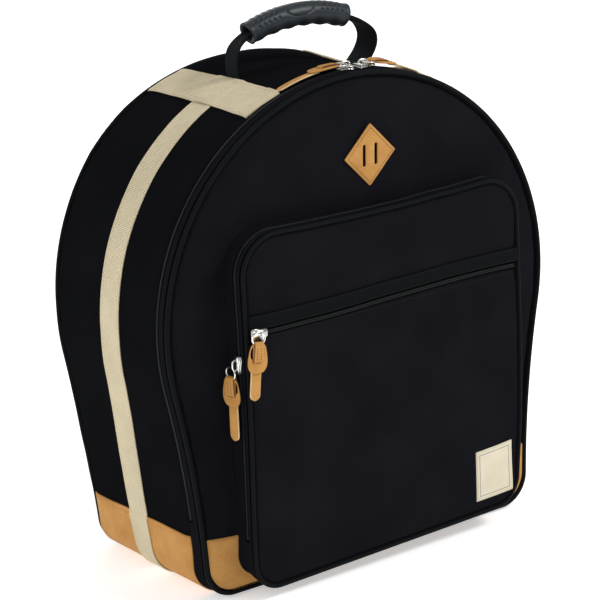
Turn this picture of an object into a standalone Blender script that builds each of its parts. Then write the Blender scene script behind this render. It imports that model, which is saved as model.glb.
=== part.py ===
"""Snare drum bag: a padded, round-topped case with a zipped front door and a zipped front pocket.

Metres, +Z up, the front faces -Y. The origin is the centre of the leather base that it stands on.
"""
import math

import bmesh
import bpy
from mathutils import Matrix, Vector

# Clearances between touching pieces, and the smallest distance that welded points may keep
GAP = 0.0003
WELD = 0.00001

# The bag's outline, seen from the front
BAG_HEIGHT = 0.450
CROWN_RADIUS = 0.209
CROWN_PAST_LEVEL = math.radians(12)
BASE_FLARE = math.radians(2)
BASE_CORNER_RADIUS = 0.030
CROWN_STEPS = 14
WAIST_STEPS = 3
CORNER_STEPS = 4

# The bag's depth, between the middles of the front and the back piping
BODY_DEPTH = 0.178
FRONT_Y = -BODY_DEPTH / 2
BACK_Y = BODY_DEPTH / 2
FRONT_RISE = 0.022
BACK_RISE = 0.008
DOME_POWER = 3.0

# Cloth, padding and trim
NYLON = 0.0012
FOAM = 0.009
LINING = 0.0008
LEATHER = 0.0012
WEBBING = 0.0015
PIPING_RADIUS = 0.0035
PIPING_INSET = 0.0026
LEATHER_HEIGHT = 0.060

# The main zip
ZIP_SETBACK = 0.0135
COIL_HALF_WIDTH = 0.0032
COIL_TOP = 0.0003
COIL_THICKNESS = 0.0023
ZIP_END_HEIGHT = 0.075

# The front pocket
POCKET_WIDTH = 0.306
POCKET_BOTTOM = 0.014
POCKET_TOP = 0.338
POCKET_STAND = 0.038
POCKET_SEAT = 0.0008
POCKET_TOP_RADIUS = 0.038
POCKET_FOOT_RADIUS = 0.028
POCKET_PIPING_RADIUS = 0.003
POCKET_PIPING_INSET = 0.0027
POCKET_ZIP_SETBACK = 0.010
POCKET_ZIP_END_HEIGHT = 0.060
POCKET_CORNER_STEPS = 4
POCKET_RUN_STEPS = 8
POCKET_RISE = 0.006
POCKET_TOP_RISE = 0.003
POCKET_POWER = 4.0

# The slip pocket's zip, across the front of the pocket
SLIP_ZIP_HEIGHT = 0.2515
SLIP_COIL_HALF_HEIGHT = 0.0033
SLIP_RIBBON_HEIGHT = 0.013
SLIP_DEPTH = 0.0055

# Trim on the front
PATCH_X = 0.005
PATCH_HEIGHT = 0.379
PATCH_HALF_WIDTH = 0.029
PATCH_SLOT_LENGTH = 0.020
PATCH_SLOT_WIDTH = 0.003
PATCH_SLOT_SPACING = 0.012
LABEL_WIDTH = 0.043
LABEL_HEIGHT = 0.050
LABEL_X = 0.116
LABEL_Z = 0.059

# Webbing over the crown and down the sides
BAND_INNER_ANGLE = math.radians(19)
BAND_WIDTH = 0.036
BAND_SETBACK = 0.0065
SIDE_WEBBING_WIDTH = 0.027
SIDE_WEBBING_SETBACK = 0.0885
SIDE_WEBBING_RAMP = 0.010

# Carrying handle
GRIP_LENGTH = 0.112
GRIP_RADIUS = 0.0115
GRIP_ARCH = 0.0095
GRIP_RISE = 0.0385
GRIP_OFFSET = 0.006
GRIP_STEPS = 8
STRAP_WIDTH = 0.038
STRAP_THICKNESS = 0.0022
FOLDED_WIDTH = 0.0165
FOLDED_THICKNESS = 0.005
STRAP_CLEARANCE = 0.0005
STRAP_FOOT_RISE = 0.003
STRAP_STEPS = 7

# Zip sliders, their rings and their leather pulls
SLIDER_LENGTH = 0.0162
SLIDER_WIDTH = 0.011
SLIDER_HEIGHT = 0.0036
SLIDER_BEVEL = 0.0008
BAIL_WIRE = 0.0009
BAIL_HALF_SPAN = 0.0045
RING_RADIUS = 0.0055
RING_WIRE = 0.0008
RING_PLAY = 0.0005
PULL_HEAD_LENGTH = 0.030
PULL_HEAD_WIDTH = 0.021
PULL_NECK_WIDTH = 0.006
PULL_TAIL_LENGTH = 0.026
PULL_TAIL_WIDTH = 0.0100
PULL_THICKNESS = 0.0024
PULL_TAIL_THICKNESS = 0.0016
EYE_HALF_LENGTH = 0.0019
EYE_HALF_HEIGHT = 0.0015
EYE_WALL = 0.0011
PULL_SAG_RADIUS = 0.150
CROWN_PULL_LEAN = math.radians(-1.5)
FACE_PULL_LEAN = math.radians(2)
MAIN_SLIDER_ANGLES = (math.radians(1.2), math.radians(6.4))
POCKET_SLIDER_HEIGHT = 0.2205
SLIP_SLIDER_SETBACK = 0.0155

# Share of the way from the middle to the rim at which a domed panel has a ring of points
RING_SHARES = (1.0, 0.87, 0.66, 0.36)
# Overrun of a cutting tool past what it cuts
OVERRUN = 0.002

NYLON_BLACK = (0.010, 0.010, 0.013)
TAPE_BLACK = (0.007, 0.011, 0.012)
FOAM_GREY = (0.20, 0.20, 0.21)
LINING_BLACK = (0.025, 0.025, 0.030)
LEATHER_TAN = (0.50, 0.27, 0.095)
WEBBING_BEIGE = (0.62, 0.53, 0.37)
LABEL_CREAM = (0.75, 0.69, 0.53)
METAL_SILVER = (0.80, 0.79, 0.76)
RUBBER_GREY = (0.022, 0.030, 0.036)


def clear_scene():
    for item in list(bpy.data.objects):
        bpy.data.objects.remove(item, do_unlink=True)


def make_material(name, color, roughness, metallic=0.0):
    material = bpy.data.materials.new(name)
    material.use_nodes = True
    shader = material.node_tree.nodes["Principled BSDF"]
    shader.inputs["Base Color"].default_value = (*color, 1.0)
    shader.inputs["Roughness"].default_value = roughness
    shader.inputs["Metallic"].default_value = metallic
    return material


# The outline: a crown arc, a hollow waist arc on each side, a corner arc and a flat base.
# Every arc meets the next one smoothly, and an inset copy of the outline is exact.
BASE_LIFT = LEATHER + GAP
CROWN_HEIGHT = BAG_HEIGHT - CROWN_RADIUS
CROWN_CENTRE = Vector((0.0, CROWN_HEIGHT))
CROWN_END = math.pi / 2 + CROWN_PAST_LEVEL
WAIST_END = math.pi / 2 + BASE_FLARE


def heading(angle):
    """Unit vector in (x, z), turned clockwise from straight up."""
    return Vector((math.sin(angle), math.cos(angle)))


def waist_radius():
    drop = CROWN_HEIGHT + CROWN_RADIUS * math.cos(CROWN_END)
    rise = BASE_LIFT + BASE_CORNER_RADIUS * (1 + math.cos(WAIST_END))
    return (drop - rise) / (math.cos(WAIST_END) - math.cos(CROWN_END))


WAIST_RADIUS = waist_radius()
WAIST_CENTRE = CROWN_CENTRE + (CROWN_RADIUS + WAIST_RADIUS) * heading(CROWN_END)
CORNER_CENTRE = WAIST_CENTRE - (WAIST_RADIUS + BASE_CORNER_RADIUS) * heading(WAIST_END)


def crown_point(angle, inset):
    return CROWN_CENTRE + (CROWN_RADIUS - inset) * heading(angle)


def waist_point(angle, inset):
    return WAIST_CENTRE - (WAIST_RADIUS + inset) * heading(angle)


def corner_point(angle, inset):
    return CORNER_CENTRE + (BASE_CORNER_RADIUS - inset) * heading(angle)


# A place on the right half of the outline is the angle turned through since the top of the
# crown: the crown's own, then the waist's, which turns back, then the corner's.
WAIST_TURN = CROWN_END - WAIST_END
CORNER_PLACE = CROWN_END + WAIST_TURN
FOOT_PLACE = CORNER_PLACE + math.pi - WAIST_END


def outline_point(place, inset):
    if place <= CROWN_END:
        return crown_point(place, inset)
    if place <= CORNER_PLACE:
        return waist_point(2 * CROWN_END - place, inset)
    return corner_point(place - CORNER_PLACE + WAIST_END, inset)


def place_at(height):
    """The place on the waist where it is at the given height."""
    return 2 * CROWN_END - math.acos((WAIST_CENTRE.y - height) / WAIST_RADIUS)


def steps_between(start, end, count):
    return [start + (end - start) * step / count for step in range(count + 1)]


def outline_places():
    """The places that every cloth layer has its points at, so that all layers stay parallel."""
    zip_end = place_at(ZIP_END_HEIGHT)
    crown = steps_between(0.0, CROWN_END, CROWN_STEPS)
    waist = steps_between(CROWN_END, zip_end, WAIST_STEPS)[1:]
    low = [place_at(LEATHER_HEIGHT), CORNER_PLACE]
    return crown + waist + low + steps_between(CORNER_PLACE, FOOT_PLACE, CORNER_STEPS)[1:]


OUTLINE_PLACES = outline_places()


def run(start, end, inset):
    """Points down the right half of the outline, from one place to another."""
    margin = WELD / CROWN_RADIUS
    inside = [place for place in OUTLINE_PLACES if start + margin < place < end - margin]
    return [outline_point(place, inset) for place in [start] + inside + [end]]


def mirrored(points):
    return [Vector((-point.x, point.y)) for point in reversed(points)]


def full_outline(inset):
    right = run(0.0, FOOT_PLACE, inset)
    return mirrored(right[1:]) + right


def upper_outline(inset, foot):
    """The outline above a height, from the left waist over the crown to the right waist."""
    right = run(0.0, place_at(foot), inset)
    return mirrored(right[1:]) + right


def lower_outline(inset, top):
    """The outline below a height, from the right waist under the base to the left waist."""
    right = run(place_at(top), FOOT_PLACE, inset)
    return right + mirrored(right)


def pocket_corner(side, top, inset):
    """Points of one round corner of the pocket, clockwise as seen from the front."""
    radius = POCKET_TOP_RADIUS if top else POCKET_FOOT_RADIUS
    level = POCKET_TOP - radius if top else POCKET_BOTTOM + radius
    centre = Vector((side * (POCKET_WIDTH / 2 - radius), level))
    quarter = math.pi / 2
    starts = {(-1, True): -quarter, (1, True): 0.0, (1, False): quarter, (-1, False): 2 * quarter}
    start = starts[(side, top)]
    turns = steps_between(start, start + quarter, POCKET_CORNER_STEPS)
    return [centre + (radius - inset) * heading(turn) for turn in turns]


def pocket_run(start, end, count):
    """Points inside a straight run, without its two ends."""
    return [start.lerp(end, step / count) for step in range(1, count)]


def pocket_arch(inset, foot):
    """The pocket's outline above a height, from the left side over the top to the right."""
    left = pocket_corner(-1, True, inset)
    right = pocket_corner(1, True, inset)
    low_left = Vector((left[0].x, foot))
    low_right = Vector((right[-1].x, foot))
    side = POCKET_RUN_STEPS
    arch = [low_left] + pocket_run(low_left, left[0], side) + left
    arch += pocket_run(left[-1], right[0], side) + right
    return arch + pocket_run(right[-1], low_right, side) + [low_right]


def pocket_trough(inset, top):
    """The pocket's outline below a height, from the right side under the foot to the left."""
    right = pocket_corner(1, False, inset)
    left = pocket_corner(-1, False, inset)
    high_right = Vector((right[0].x, top))
    high_left = Vector((left[-1].x, top))
    return [high_right] + right + pocket_run(right[-1], left[0], POCKET_RUN_STEPS) + left + [high_left]


def pocket_outline(inset):
    middle = (POCKET_TOP + POCKET_BOTTOM) / 2
    arch = pocket_arch(inset, middle)
    return arch + pocket_trough(inset, middle)[1:-1]


def mesh_object(name, bm, material, smooth=True):
    mesh = bpy.data.meshes.new(name)
    bm.to_mesh(mesh)
    bm.free()
    return object_of(name, mesh, material, smooth)


def object_of(name, mesh, material, smooth=True):
    mesh.materials.clear()
    mesh.materials.append(material)
    if smooth:
        mesh.shade_smooth()
        mesh.set_sharp_from_angle(angle=math.radians(35))
    part = bpy.data.objects.new(name, mesh)
    PARTS.objects.link(part)
    return part


def face_away_from(bm, inner):
    """Turns an open sheet so that its faces look away from an inner point."""
    bm.normal_update()
    bm.faces.ensure_lookup_table()
    face = max(bm.faces, key=lambda item: (item.calc_center_median() - inner).length)
    if face.normal.dot(face.calc_center_median() - inner) < 0:
        bmesh.ops.reverse_faces(bm, faces=bm.faces[:])


def thicken(part, thickness):
    solid = part.modifiers.new("thickness", "SOLIDIFY")
    solid.thickness = thickness
    solid.offset = -1.0
    solid.use_even_offset = True
    return part


def band(name, path, front, back, thickness, material, inner, closed=False):
    """A cloth band: an outline in (x, z) swept from front to back, thickened inwards."""
    bm = bmesh.new()
    front_is_list = isinstance(front, list)
    starts = front if front_is_list else [front] * len(path)
    backs = back if isinstance(back, list) else [back] * len(path)
    near = [bm.verts.new((point.x, y, point.y)) for point, y in zip(path, starts)]
    far = [bm.verts.new((point.x, y, point.y)) for point, y in zip(path, backs)]
    count = len(path)
    for index in range(count if closed else count - 1):
        after = (index + 1) % count
        bm.faces.new((near[index], near[after], far[after], far[index]))
    face_away_from(bm, inner)
    return thicken(mesh_object(name, bm, material), thickness)


def ring_rows(rim, centre, rim_y, rise, power):
    """Rings of points from a panel's rim towards its middle, domed along y."""
    rows = []
    for share in RING_SHARES:
        y = rim_y + rise * (1 - share ** power)
        row = [centre.lerp(point, share) for point in rim]
        rows.append([Vector((point.x, y, point.y)) for point in row])
    return rows


def dome_sheet(rim, centre, rim_y, rise, power):
    """An open domed sheet inside a closed rim."""
    bm = bmesh.new()
    rows = [[bm.verts.new(point) for point in row] for row in ring_rows(rim, centre, rim_y, rise, power)]
    count = len(rim)
    for outer, inner in zip(rows, rows[1:]):
        for index in range(count):
            after = (index + 1) % count
            bm.faces.new((outer[index], outer[after], inner[after], inner[index]))
    top = bm.verts.new((centre.x, rim_y + rise, centre.y))
    for index in range(count):
        bm.faces.new((rows[-1][index], rows[-1][(index + 1) % count], top))
    return bm


def trim_sheet(bm, cuts):
    """Cuts a sheet by planes in (x, z): each keeps the side that its direction points away from."""
    for point, direction in cuts:
        geometry = bm.verts[:] + bm.edges[:] + bm.faces[:]
        place = Vector((point.x, 0.0, point.y))
        normal = Vector((direction.x, 0.0, direction.y))
        bmesh.ops.bisect_plane(bm, geom=geometry, plane_co=place, plane_no=normal, clear_outer=True)


def deepen(bm, depth):
    """Gives a sheet the same depth along y everywhere, and points its faces outwards."""
    grown = bmesh.ops.extrude_face_region(bm, geom=bm.faces[:])
    moved = [item for item in grown["geom"] if isinstance(item, bmesh.types.BMVert)]
    bmesh.ops.translate(bm, verts=moved, vec=(0.0, depth, 0.0))
    bmesh.ops.recalc_face_normals(bm, faces=bm.faces[:])


def domed_panel(name, rim, centre, rim_y, rise, depth, material, power=DOME_POWER, cuts=()):
    bm = dome_sheet(rim, centre, rim_y, rise, power)
    trim_sheet(bm, cuts)
    deepen(bm, depth)
    return mesh_object(name, bm, material)


def cord(name, points, radius, material, closed=True, sides=1):
    """A round tube along points, as a mesh."""
    curve = bpy.data.curves.new(name, "CURVE")
    curve.dimensions = "3D"
    curve.bevel_depth = radius
    curve.bevel_resolution = sides
    curve.use_fill_caps = True
    spline = curve.splines.new("POLY")
    spline.points.add(len(points) - 1)
    for target, point in zip(spline.points, points):
        target.co = (*point, 1.0)
    spline.use_cyclic_u = closed
    guide = bpy.data.objects.new(name, curve)
    PARTS.objects.link(guide)
    mesh = mesh_from(guide, name)
    bpy.data.objects.remove(guide, do_unlink=True)
    return object_of(name, mesh, material)


def flat_shape(outline, thickness, holes=()):
    """A flat outline with holes, centred on its own plane, as a temporary mesh object."""
    curve = bpy.data.curves.new("flat_shape", "CURVE")
    curve.dimensions = "2D"
    curve.fill_mode = "BOTH"
    curve.extrude = thickness / 2
    for points in (outline, *holes):
        spline = curve.splines.new("POLY")
        spline.points.add(len(points) - 1)
        for target, point in zip(spline.points, points):
            target.co = (point[0], point[1], 0.0, 1.0)
        spline.use_cyclic_u = True
    guide = bpy.data.objects.new("flat_shape", curve)
    PARTS.objects.link(guide)
    mesh = mesh_from(guide, "flat_shape")
    bpy.data.objects.remove(guide, do_unlink=True)
    shape = bpy.data.objects.new("flat_shape", mesh)
    PARTS.objects.link(shape)
    return shape


def mesh_from(source, name):
    """The evaluated shape of an object as a closed mesh with its doubled points welded."""
    bpy.context.view_layer.update()
    graph = bpy.context.evaluated_depsgraph_get()
    mesh = bpy.data.meshes.new_from_object(source.evaluated_get(graph))
    mesh.name = name
    bm = bmesh.new()
    bm.from_mesh(mesh)
    bmesh.ops.remove_doubles(bm, verts=bm.verts[:], dist=WELD)
    bmesh.ops.recalc_face_normals(bm, faces=bm.faces[:])
    bm.to_mesh(mesh)
    bm.free()
    return mesh


def combined_mesh(name, base, tools, operation):
    """The mesh of a base object joined with, or cut by, its tools, which are used up."""
    for tool in tools:
        step = base.modifiers.new(operation, "BOOLEAN")
        step.operation = operation
        step.solver = "EXACT"
        step.object = tool
    mesh = mesh_from(base, name)
    for item in (base, *tools):
        bpy.data.objects.remove(item, do_unlink=True)
    return mesh


# Depths of the layers behind the front and the back cloth
FOAM_START = NYLON + GAP
LINING_START = FOAM_START + FOAM + GAP
LAYERS_END = LINING_START + LINING
STRIP_START = FRONT_Y + PIPING_RADIUS
ZIP_Y = FRONT_Y + ZIP_SETBACK
BODY_START = ZIP_Y + COIL_HALF_WIDTH + GAP
PANEL_INSET = PIPING_INSET + PIPING_RADIUS + GAP
BAG_MIDDLE = Vector((0.0, CROWN_HEIGHT))
INNER_POINT = Vector((0.0, 0.0, CROWN_HEIGHT))


def build_side_wall(finish):
    end = BACK_Y - PIPING_RADIUS
    wall = full_outline(0.0)
    band("body_gusset", wall, BODY_START, end, NYLON, finish["nylon"], INNER_POINT, closed=True)
    inner_end = BACK_Y - LAYERS_END - GAP
    foam = full_outline(FOAM_START)
    band("gusset_foam", foam, BODY_START, inner_end, FOAM, finish["foam"], INNER_POINT, closed=True)
    lining = full_outline(LINING_START)
    band("gusset_lining", lining, BODY_START, inner_end, LINING, finish["lining"], INNER_POINT, closed=True)


def build_back(finish):
    rim = full_outline(PANEL_INSET)
    layers = (
        ("back_panel", 0.0, NYLON, finish["nylon"]),
        ("back_foam", FOAM_START, FOAM, finish["foam"]),
        ("back_lining", LINING_START, LINING, finish["lining"]),
    )
    for name, start, depth, material in layers:
        domed_panel(name, rim, BAG_MIDDLE, BACK_Y - start, BACK_RISE, -depth, material)
    welt("back_piping", BACK_Y, finish["tape"])


def welt(name, y, material):
    """Piping round the edge of the bag."""
    points = [(point.x, y, point.y) for point in full_outline(PIPING_INSET)]
    return cord(name, points, PIPING_RADIUS, material)


def build_base_leather(finish):
    path = lower_outline(-LEATHER - GAP, LEATHER_HEIGHT)
    start = BODY_START
    end = BACK_Y - PIPING_RADIUS
    band("base_leather", path, start, end, LEATHER, finish["leather"], INNER_POINT)


def build_body_zip(finish):
    coil = upper_outline(COIL_TOP, ZIP_END_HEIGHT)
    start = ZIP_Y + GAP / 2
    end = ZIP_Y + COIL_HALF_WIDTH
    band("body_zip_half", coil, start, end, COIL_THICKNESS, finish["tape"], INNER_POINT)


def band_places():
    return BAND_INNER_ANGLE, BAND_INNER_ANGLE + BAND_WIDTH / CROWN_RADIUS


def build_handle_bands(finish):
    start = ZIP_Y + BAND_SETBACK
    end = BACK_Y - PIPING_RADIUS
    right = run(*band_places(), -WEBBING - GAP)
    for label, path in (("left", mirrored(right)), ("right", right)):
        band(f"handle_band_{label}", path, start, end, WEBBING, finish["webbing"], INNER_POINT)


def side_webbing_path():
    """Down the right side: on the nylon, then out over the leather, to the foot of the corner."""
    on_nylon = -WEBBING - GAP
    on_leather = on_nylon - LEATHER - GAP
    start = band_places()[1] + GAP / CROWN_RADIUS
    end = FOOT_PLACE - (FOOT_PLACE - CORNER_PLACE) / CORNER_STEPS
    above = run(start, place_at(LEATHER_HEIGHT + SIDE_WEBBING_RAMP), on_nylon)
    return above + run(place_at(LEATHER_HEIGHT), end, on_leather)


def build_side_webbing(finish):
    start = FRONT_Y + SIDE_WEBBING_SETBACK - SIDE_WEBBING_WIDTH / 2
    end = start + SIDE_WEBBING_WIDTH
    right = side_webbing_path()
    for label, path in (("left", mirrored(right)), ("right", right)):
        band(f"side_webbing_{label}", path, start, end, WEBBING, finish["webbing"], INNER_POINT)


def build_front(finish):
    rim = full_outline(PANEL_INSET)
    layers = (
        ("front_panel", 0.0, NYLON, finish["nylon"]),
        ("front_foam", FOAM_START, FOAM, finish["foam"]),
        ("front_lining", LINING_START, LINING, finish["lining"]),
    )
    for name, start, depth, material in layers:
        domed_panel(name, rim, BAG_MIDDLE, FRONT_Y + start, -FRONT_RISE, depth, material)
    welt("front_piping", FRONT_Y, finish["tape"])
    strip = upper_outline(0.0, ZIP_END_HEIGHT)
    strip_end = ZIP_Y - COIL_HALF_WIDTH - GAP
    band("front_edge_strip", strip, STRIP_START, strip_end, NYLON, finish["nylon"], INNER_POINT)
    coil = upper_outline(COIL_TOP, ZIP_END_HEIGHT)
    start = ZIP_Y - COIL_HALF_WIDTH
    band("door_zip_half", coil, start, ZIP_Y - GAP / 2, COIL_THICKNESS, finish["tape"], INNER_POINT)
    below = lower_outline(0.0, ZIP_END_HEIGHT - GAP)
    hinge_end = BODY_START - GAP
    band("door_hinge_strip", below, STRIP_START, hinge_end, NYLON, finish["nylon"], INNER_POINT)


def build_front_leather(finish):
    rim = full_outline(PANEL_INSET)
    cuts = [(Vector((0.0, LEATHER_HEIGHT)), Vector((0.0, 1.0)))]
    rim_y = FRONT_Y - GAP - LEATHER
    domed_panel("front_leather", rim, BAG_MIDDLE, rim_y, -FRONT_RISE, LEATHER, finish["leather"], cuts=cuts)


def dome_y(x, z):
    """The front panel's outer face at a point, from the dome's own rule."""
    ray = Vector((x, z)) - BAG_MIDDLE
    rim = full_outline(PANEL_INSET)
    share = 0.0
    for start, end in zip(rim, rim[1:] + rim[:1]):
        side = end - start
        cross = ray.x * side.y - ray.y * side.x
        if abs(cross) < WELD * WELD:
            continue
        offset = start - BAG_MIDDLE
        reach = (offset.x * side.y - offset.y * side.x) / cross
        along = (offset.x * ray.y - offset.y * ray.x) / cross
        if reach > 0 and -WELD <= along <= 1 + WELD:
            share = 1 / reach
    return FRONT_Y - FRONT_RISE * (1 - share ** DOME_POWER)


def build_lash_patch(finish):
    half = PATCH_HALF_WIDTH
    outline = [(half, 0.0), (0.0, half), (-half, 0.0), (0.0, -half)]
    slot_x = PATCH_SLOT_WIDTH / 2
    slot_y = PATCH_SLOT_LENGTH / 2
    holes = []
    for side in (-1, 1):
        middle = side * PATCH_SLOT_SPACING / 2
        corners = ((-slot_x, -slot_y), (slot_x, -slot_y), (slot_x, slot_y), (-slot_x, slot_y))
        holes.append([(middle + x, y) for x, y in corners])
    shape = flat_shape(outline, LEATHER, holes)
    mesh = shape.data
    bpy.data.objects.remove(shape, do_unlink=True)
    patch = object_of("lash_patch", mesh, finish["leather"], smooth=False)
    low = dome_y(PATCH_X, PATCH_HEIGHT - half)
    high = dome_y(PATCH_X, PATCH_HEIGHT + half)
    lean = math.atan2(high - low, 2 * half)
    stand = LEATHER / 2 + GAP
    patch.rotation_euler = (math.pi / 2 - lean, 0.0, 0.0)
    depth = dome_y(PATCH_X, PATCH_HEIGHT) - stand / math.cos(lean)
    patch.location = (PATCH_X, depth, PATCH_HEIGHT)
    return patch


# Planes of the pocket, from the front backwards
POCKET_Y = FRONT_Y - POCKET_STAND
POCKET_STRIP_START = POCKET_Y + POCKET_PIPING_RADIUS
POCKET_ZIP_Y = POCKET_Y + POCKET_ZIP_SETBACK
POCKET_WALL_START = POCKET_ZIP_Y + COIL_HALF_WIDTH + GAP
POCKET_PANEL_INSET = POCKET_PIPING_INSET + POCKET_PIPING_RADIUS + GAP
POCKET_FACE_Y = POCKET_Y - NYLON
POCKET_INNER = Vector((0.0, POCKET_Y, (POCKET_TOP + POCKET_BOTTOM) / 2))
SLIP_TOP = SLIP_ZIP_HEIGHT + SLIP_COIL_HALF_HEIGHT
SLIP_FOOT = SLIP_ZIP_HEIGHT - SLIP_COIL_HALF_HEIGHT


def build_pocket_wall(finish):
    outer = pocket_outline(0.0)
    inner = pocket_outline(NYLON)
    stand = GAP + LEATHER + POCKET_SEAT
    backs = [min(dome_y(*far), dome_y(*near)) - stand for far, near in zip(outer, inner)]
    fronts = [POCKET_WALL_START] * len(outer)
    band("pocket_gusset", outer, fronts, backs, NYLON, finish["nylon"], POCKET_INNER, closed=True)
    coil = pocket_arch(COIL_TOP, POCKET_ZIP_END_HEIGHT)
    start = POCKET_ZIP_Y + GAP / 2
    end = POCKET_ZIP_Y + COIL_HALF_WIDTH
    band("pocket_zip_rear_half", coil, start, end, COIL_THICKNESS, finish["tape"], POCKET_INNER)


def build_pocket_edge(finish):
    coil = pocket_arch(COIL_TOP, POCKET_ZIP_END_HEIGHT)
    start = POCKET_ZIP_Y - COIL_HALF_WIDTH
    end = POCKET_ZIP_Y - GAP / 2
    band("pocket_zip_front_half", coil, start, end, COIL_THICKNESS, finish["tape"], POCKET_INNER)
    strip = pocket_arch(0.0, POCKET_ZIP_END_HEIGHT)
    band("pocket_edge_strip", strip, POCKET_STRIP_START, start - GAP, NYLON, finish["nylon"], POCKET_INNER)
    below = pocket_trough(0.0, POCKET_ZIP_END_HEIGHT - GAP)
    end = POCKET_WALL_START - GAP
    band("pocket_hinge_strip", below, POCKET_STRIP_START, end, NYLON, finish["nylon"], POCKET_INNER)
    points = [(point.x, POCKET_Y, point.y) for point in pocket_outline(POCKET_PIPING_INSET)]
    cord("pocket_piping", points, POCKET_PIPING_RADIUS, finish["tape"])


def clipped_rim(inset, foot, top):
    """The part of the pocket's outline between two heights, closed by straight runs."""
    rim = [point for point in pocket_outline(inset) if foot < point.y < top]
    half = POCKET_WIDTH / 2 - inset
    if top < POCKET_TOP - inset:
        rim += [Vector((-half, top)), Vector((half, top))]
    if foot > POCKET_BOTTOM + inset:
        rim += [Vector((-half, foot)), Vector((half, foot))]
    middle = Vector((0.0, (foot + top) / 2))
    return sorted(rim, key=lambda point: math.atan2(point.y - middle.y, point.x - middle.x)), middle


def build_pocket_front(finish):
    inset = POCKET_PANEL_INSET
    rim, middle = clipped_rim(inset, POCKET_BOTTOM, SLIP_FOOT - GAP)
    face = POCKET_FACE_Y
    nylon = finish["nylon"]
    domed_panel("pocket_lower_panel", rim, middle, face, -POCKET_RISE, NYLON, nylon, POCKET_POWER)
    ribbon_top = SLIP_TOP + GAP + SLIP_RIBBON_HEIGHT
    rim, middle = clipped_rim(inset, ribbon_top + GAP, POCKET_TOP)
    domed_panel("pocket_upper_panel", rim, middle, face, -POCKET_TOP_RISE, NYLON, nylon, POCKET_POWER)
    cross_strip("pocket_zip_ribbon", SLIP_TOP + GAP, ribbon_top, NYLON + GAP, finish["tape"])
    cross_strip("slip_pocket_zip", SLIP_FOOT, SLIP_TOP, COIL_THICKNESS, finish["tape"])
    backing = pocket_outline(NYLON + GAP)
    centre = Vector((0.0, POCKET_INNER.z))
    start = POCKET_Y + SLIP_DEPTH
    domed_panel("slip_pocket_backing", backing, centre, start, 0.0, LINING, finish["lining"])


def cross_strip(name, foot, top, depth, material):
    """A straight strip across the pocket's face, from piping to piping."""
    half = POCKET_WIDTH / 2 - POCKET_PANEL_INSET
    bm = bmesh.new()
    bmesh.ops.create_cube(bm, size=1.0)
    size = (2 * half, depth, top - foot)
    bmesh.ops.scale(bm, verts=bm.verts[:], vec=size)
    bmesh.ops.translate(bm, verts=bm.verts[:], vec=(0.0, POCKET_Y - depth / 2, (top + foot) / 2))
    return mesh_object(name, bm, material, smooth=False)


def build_label(finish):
    rim, middle = clipped_rim(POCKET_PANEL_INSET, POCKET_BOTTOM, SLIP_FOOT - GAP)
    right = Vector((1.0, 0.0))
    up = Vector((0.0, 1.0))
    place = Vector((LABEL_X, LABEL_Z))
    cuts = [
        (place + right * LABEL_WIDTH / 2, right),
        (place - right * LABEL_WIDTH / 2, -right),
        (place + up * LABEL_HEIGHT / 2, up),
        (place - up * LABEL_HEIGHT / 2, -up),
    ]
    face = POCKET_FACE_Y - GAP - LINING
    cream = finish["label"]
    domed_panel("woven_label", rim, middle, face, -POCKET_RISE, LINING, cream, POCKET_POWER, cuts)


# A slider, its ring and its pull are modelled in their own frame: x along the ring's wire,
# y in the direction in which the pull hangs, z away from the zip.
RING_HEIGHT = SLIDER_HEIGHT + RING_PLAY + RING_WIRE
BAIL_HEIGHT = RING_HEIGHT + RING_WIRE + RING_PLAY + BAIL_WIRE
EYE_PLACE = 2 * RING_RADIUS
EYE_MIDDLE = EYE_PLACE + RING_WIRE + GAP - EYE_HALF_LENGTH


def casting(width, length):
    bm = bmesh.new()
    bmesh.ops.create_cube(bm, size=1.0)
    bmesh.ops.scale(bm, verts=bm.verts[:], vec=(width, length, SLIDER_HEIGHT))
    bmesh.ops.translate(bm, verts=bm.verts[:], vec=(0.0, 0.0, SLIDER_HEIGHT / 2))
    bmesh.ops.bevel(bm, geom=bm.edges[:], offset=SLIDER_BEVEL, segments=1, affect="EDGES")
    return bm


def slider_mesh(name, width, length, finish):
    """A slider's casting with the bail over it that holds the ring."""
    base = mesh_object(name, casting(width, length), finish["metal"])
    span = BAIL_HALF_SPAN
    foot = SLIDER_HEIGHT - BAIL_WIRE
    shoulder = BAIL_HEIGHT - BAIL_WIRE
    rise = ((-span, foot), (-span, shoulder), (BAIL_WIRE - span, BAIL_HEIGHT))
    sides = list(rise) + [(-y, z) for y, z in reversed(rise)]
    points = [(0.0, y, z) for y, z in sides]
    bail = cord("bail", points, BAIL_WIRE, finish["metal"], closed=False)
    return combined_mesh(name, base, [bail], "UNION")


def ring_mesh():
    bpy.ops.mesh.primitive_torus_add(
        major_segments=16, minor_segments=6, major_radius=RING_RADIUS, minor_radius=RING_WIRE
    )
    ring = bpy.context.active_object
    mesh = ring.data
    bpy.data.objects.remove(ring, do_unlink=True)
    mesh.transform(Matrix.Translation((0.0, RING_RADIUS, 0.0)))
    return mesh


def pull_plan():
    """The pull seen from above: a narrow neck, a teardrop head and a slim tail, as half widths."""
    start = EYE_PLACE
    neck = PULL_NECK_WIDTH / 2
    head = PULL_HEAD_WIDTH / 2
    tail = PULL_TAIL_WIDTH / 2
    head_end = start + PULL_HEAD_LENGTH
    tail_end = head_end + PULL_TAIL_LENGTH
    shoulder = EYE_MIDDLE + EYE_HALF_LENGTH + EYE_WALL
    belly = head_end - head
    right = [(neck, start - 2 * PULL_NECK_WIDTH), (neck, shoulder), (head - neck / 2, belly - neck)]
    right += [(head, belly), (head - neck / 2, head_end - neck), (tail, head_end)]
    right += [(tail, tail_end - tail), (tail / 2, tail_end)]
    return right + [(-x, y) for x, y in reversed(right)]


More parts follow.
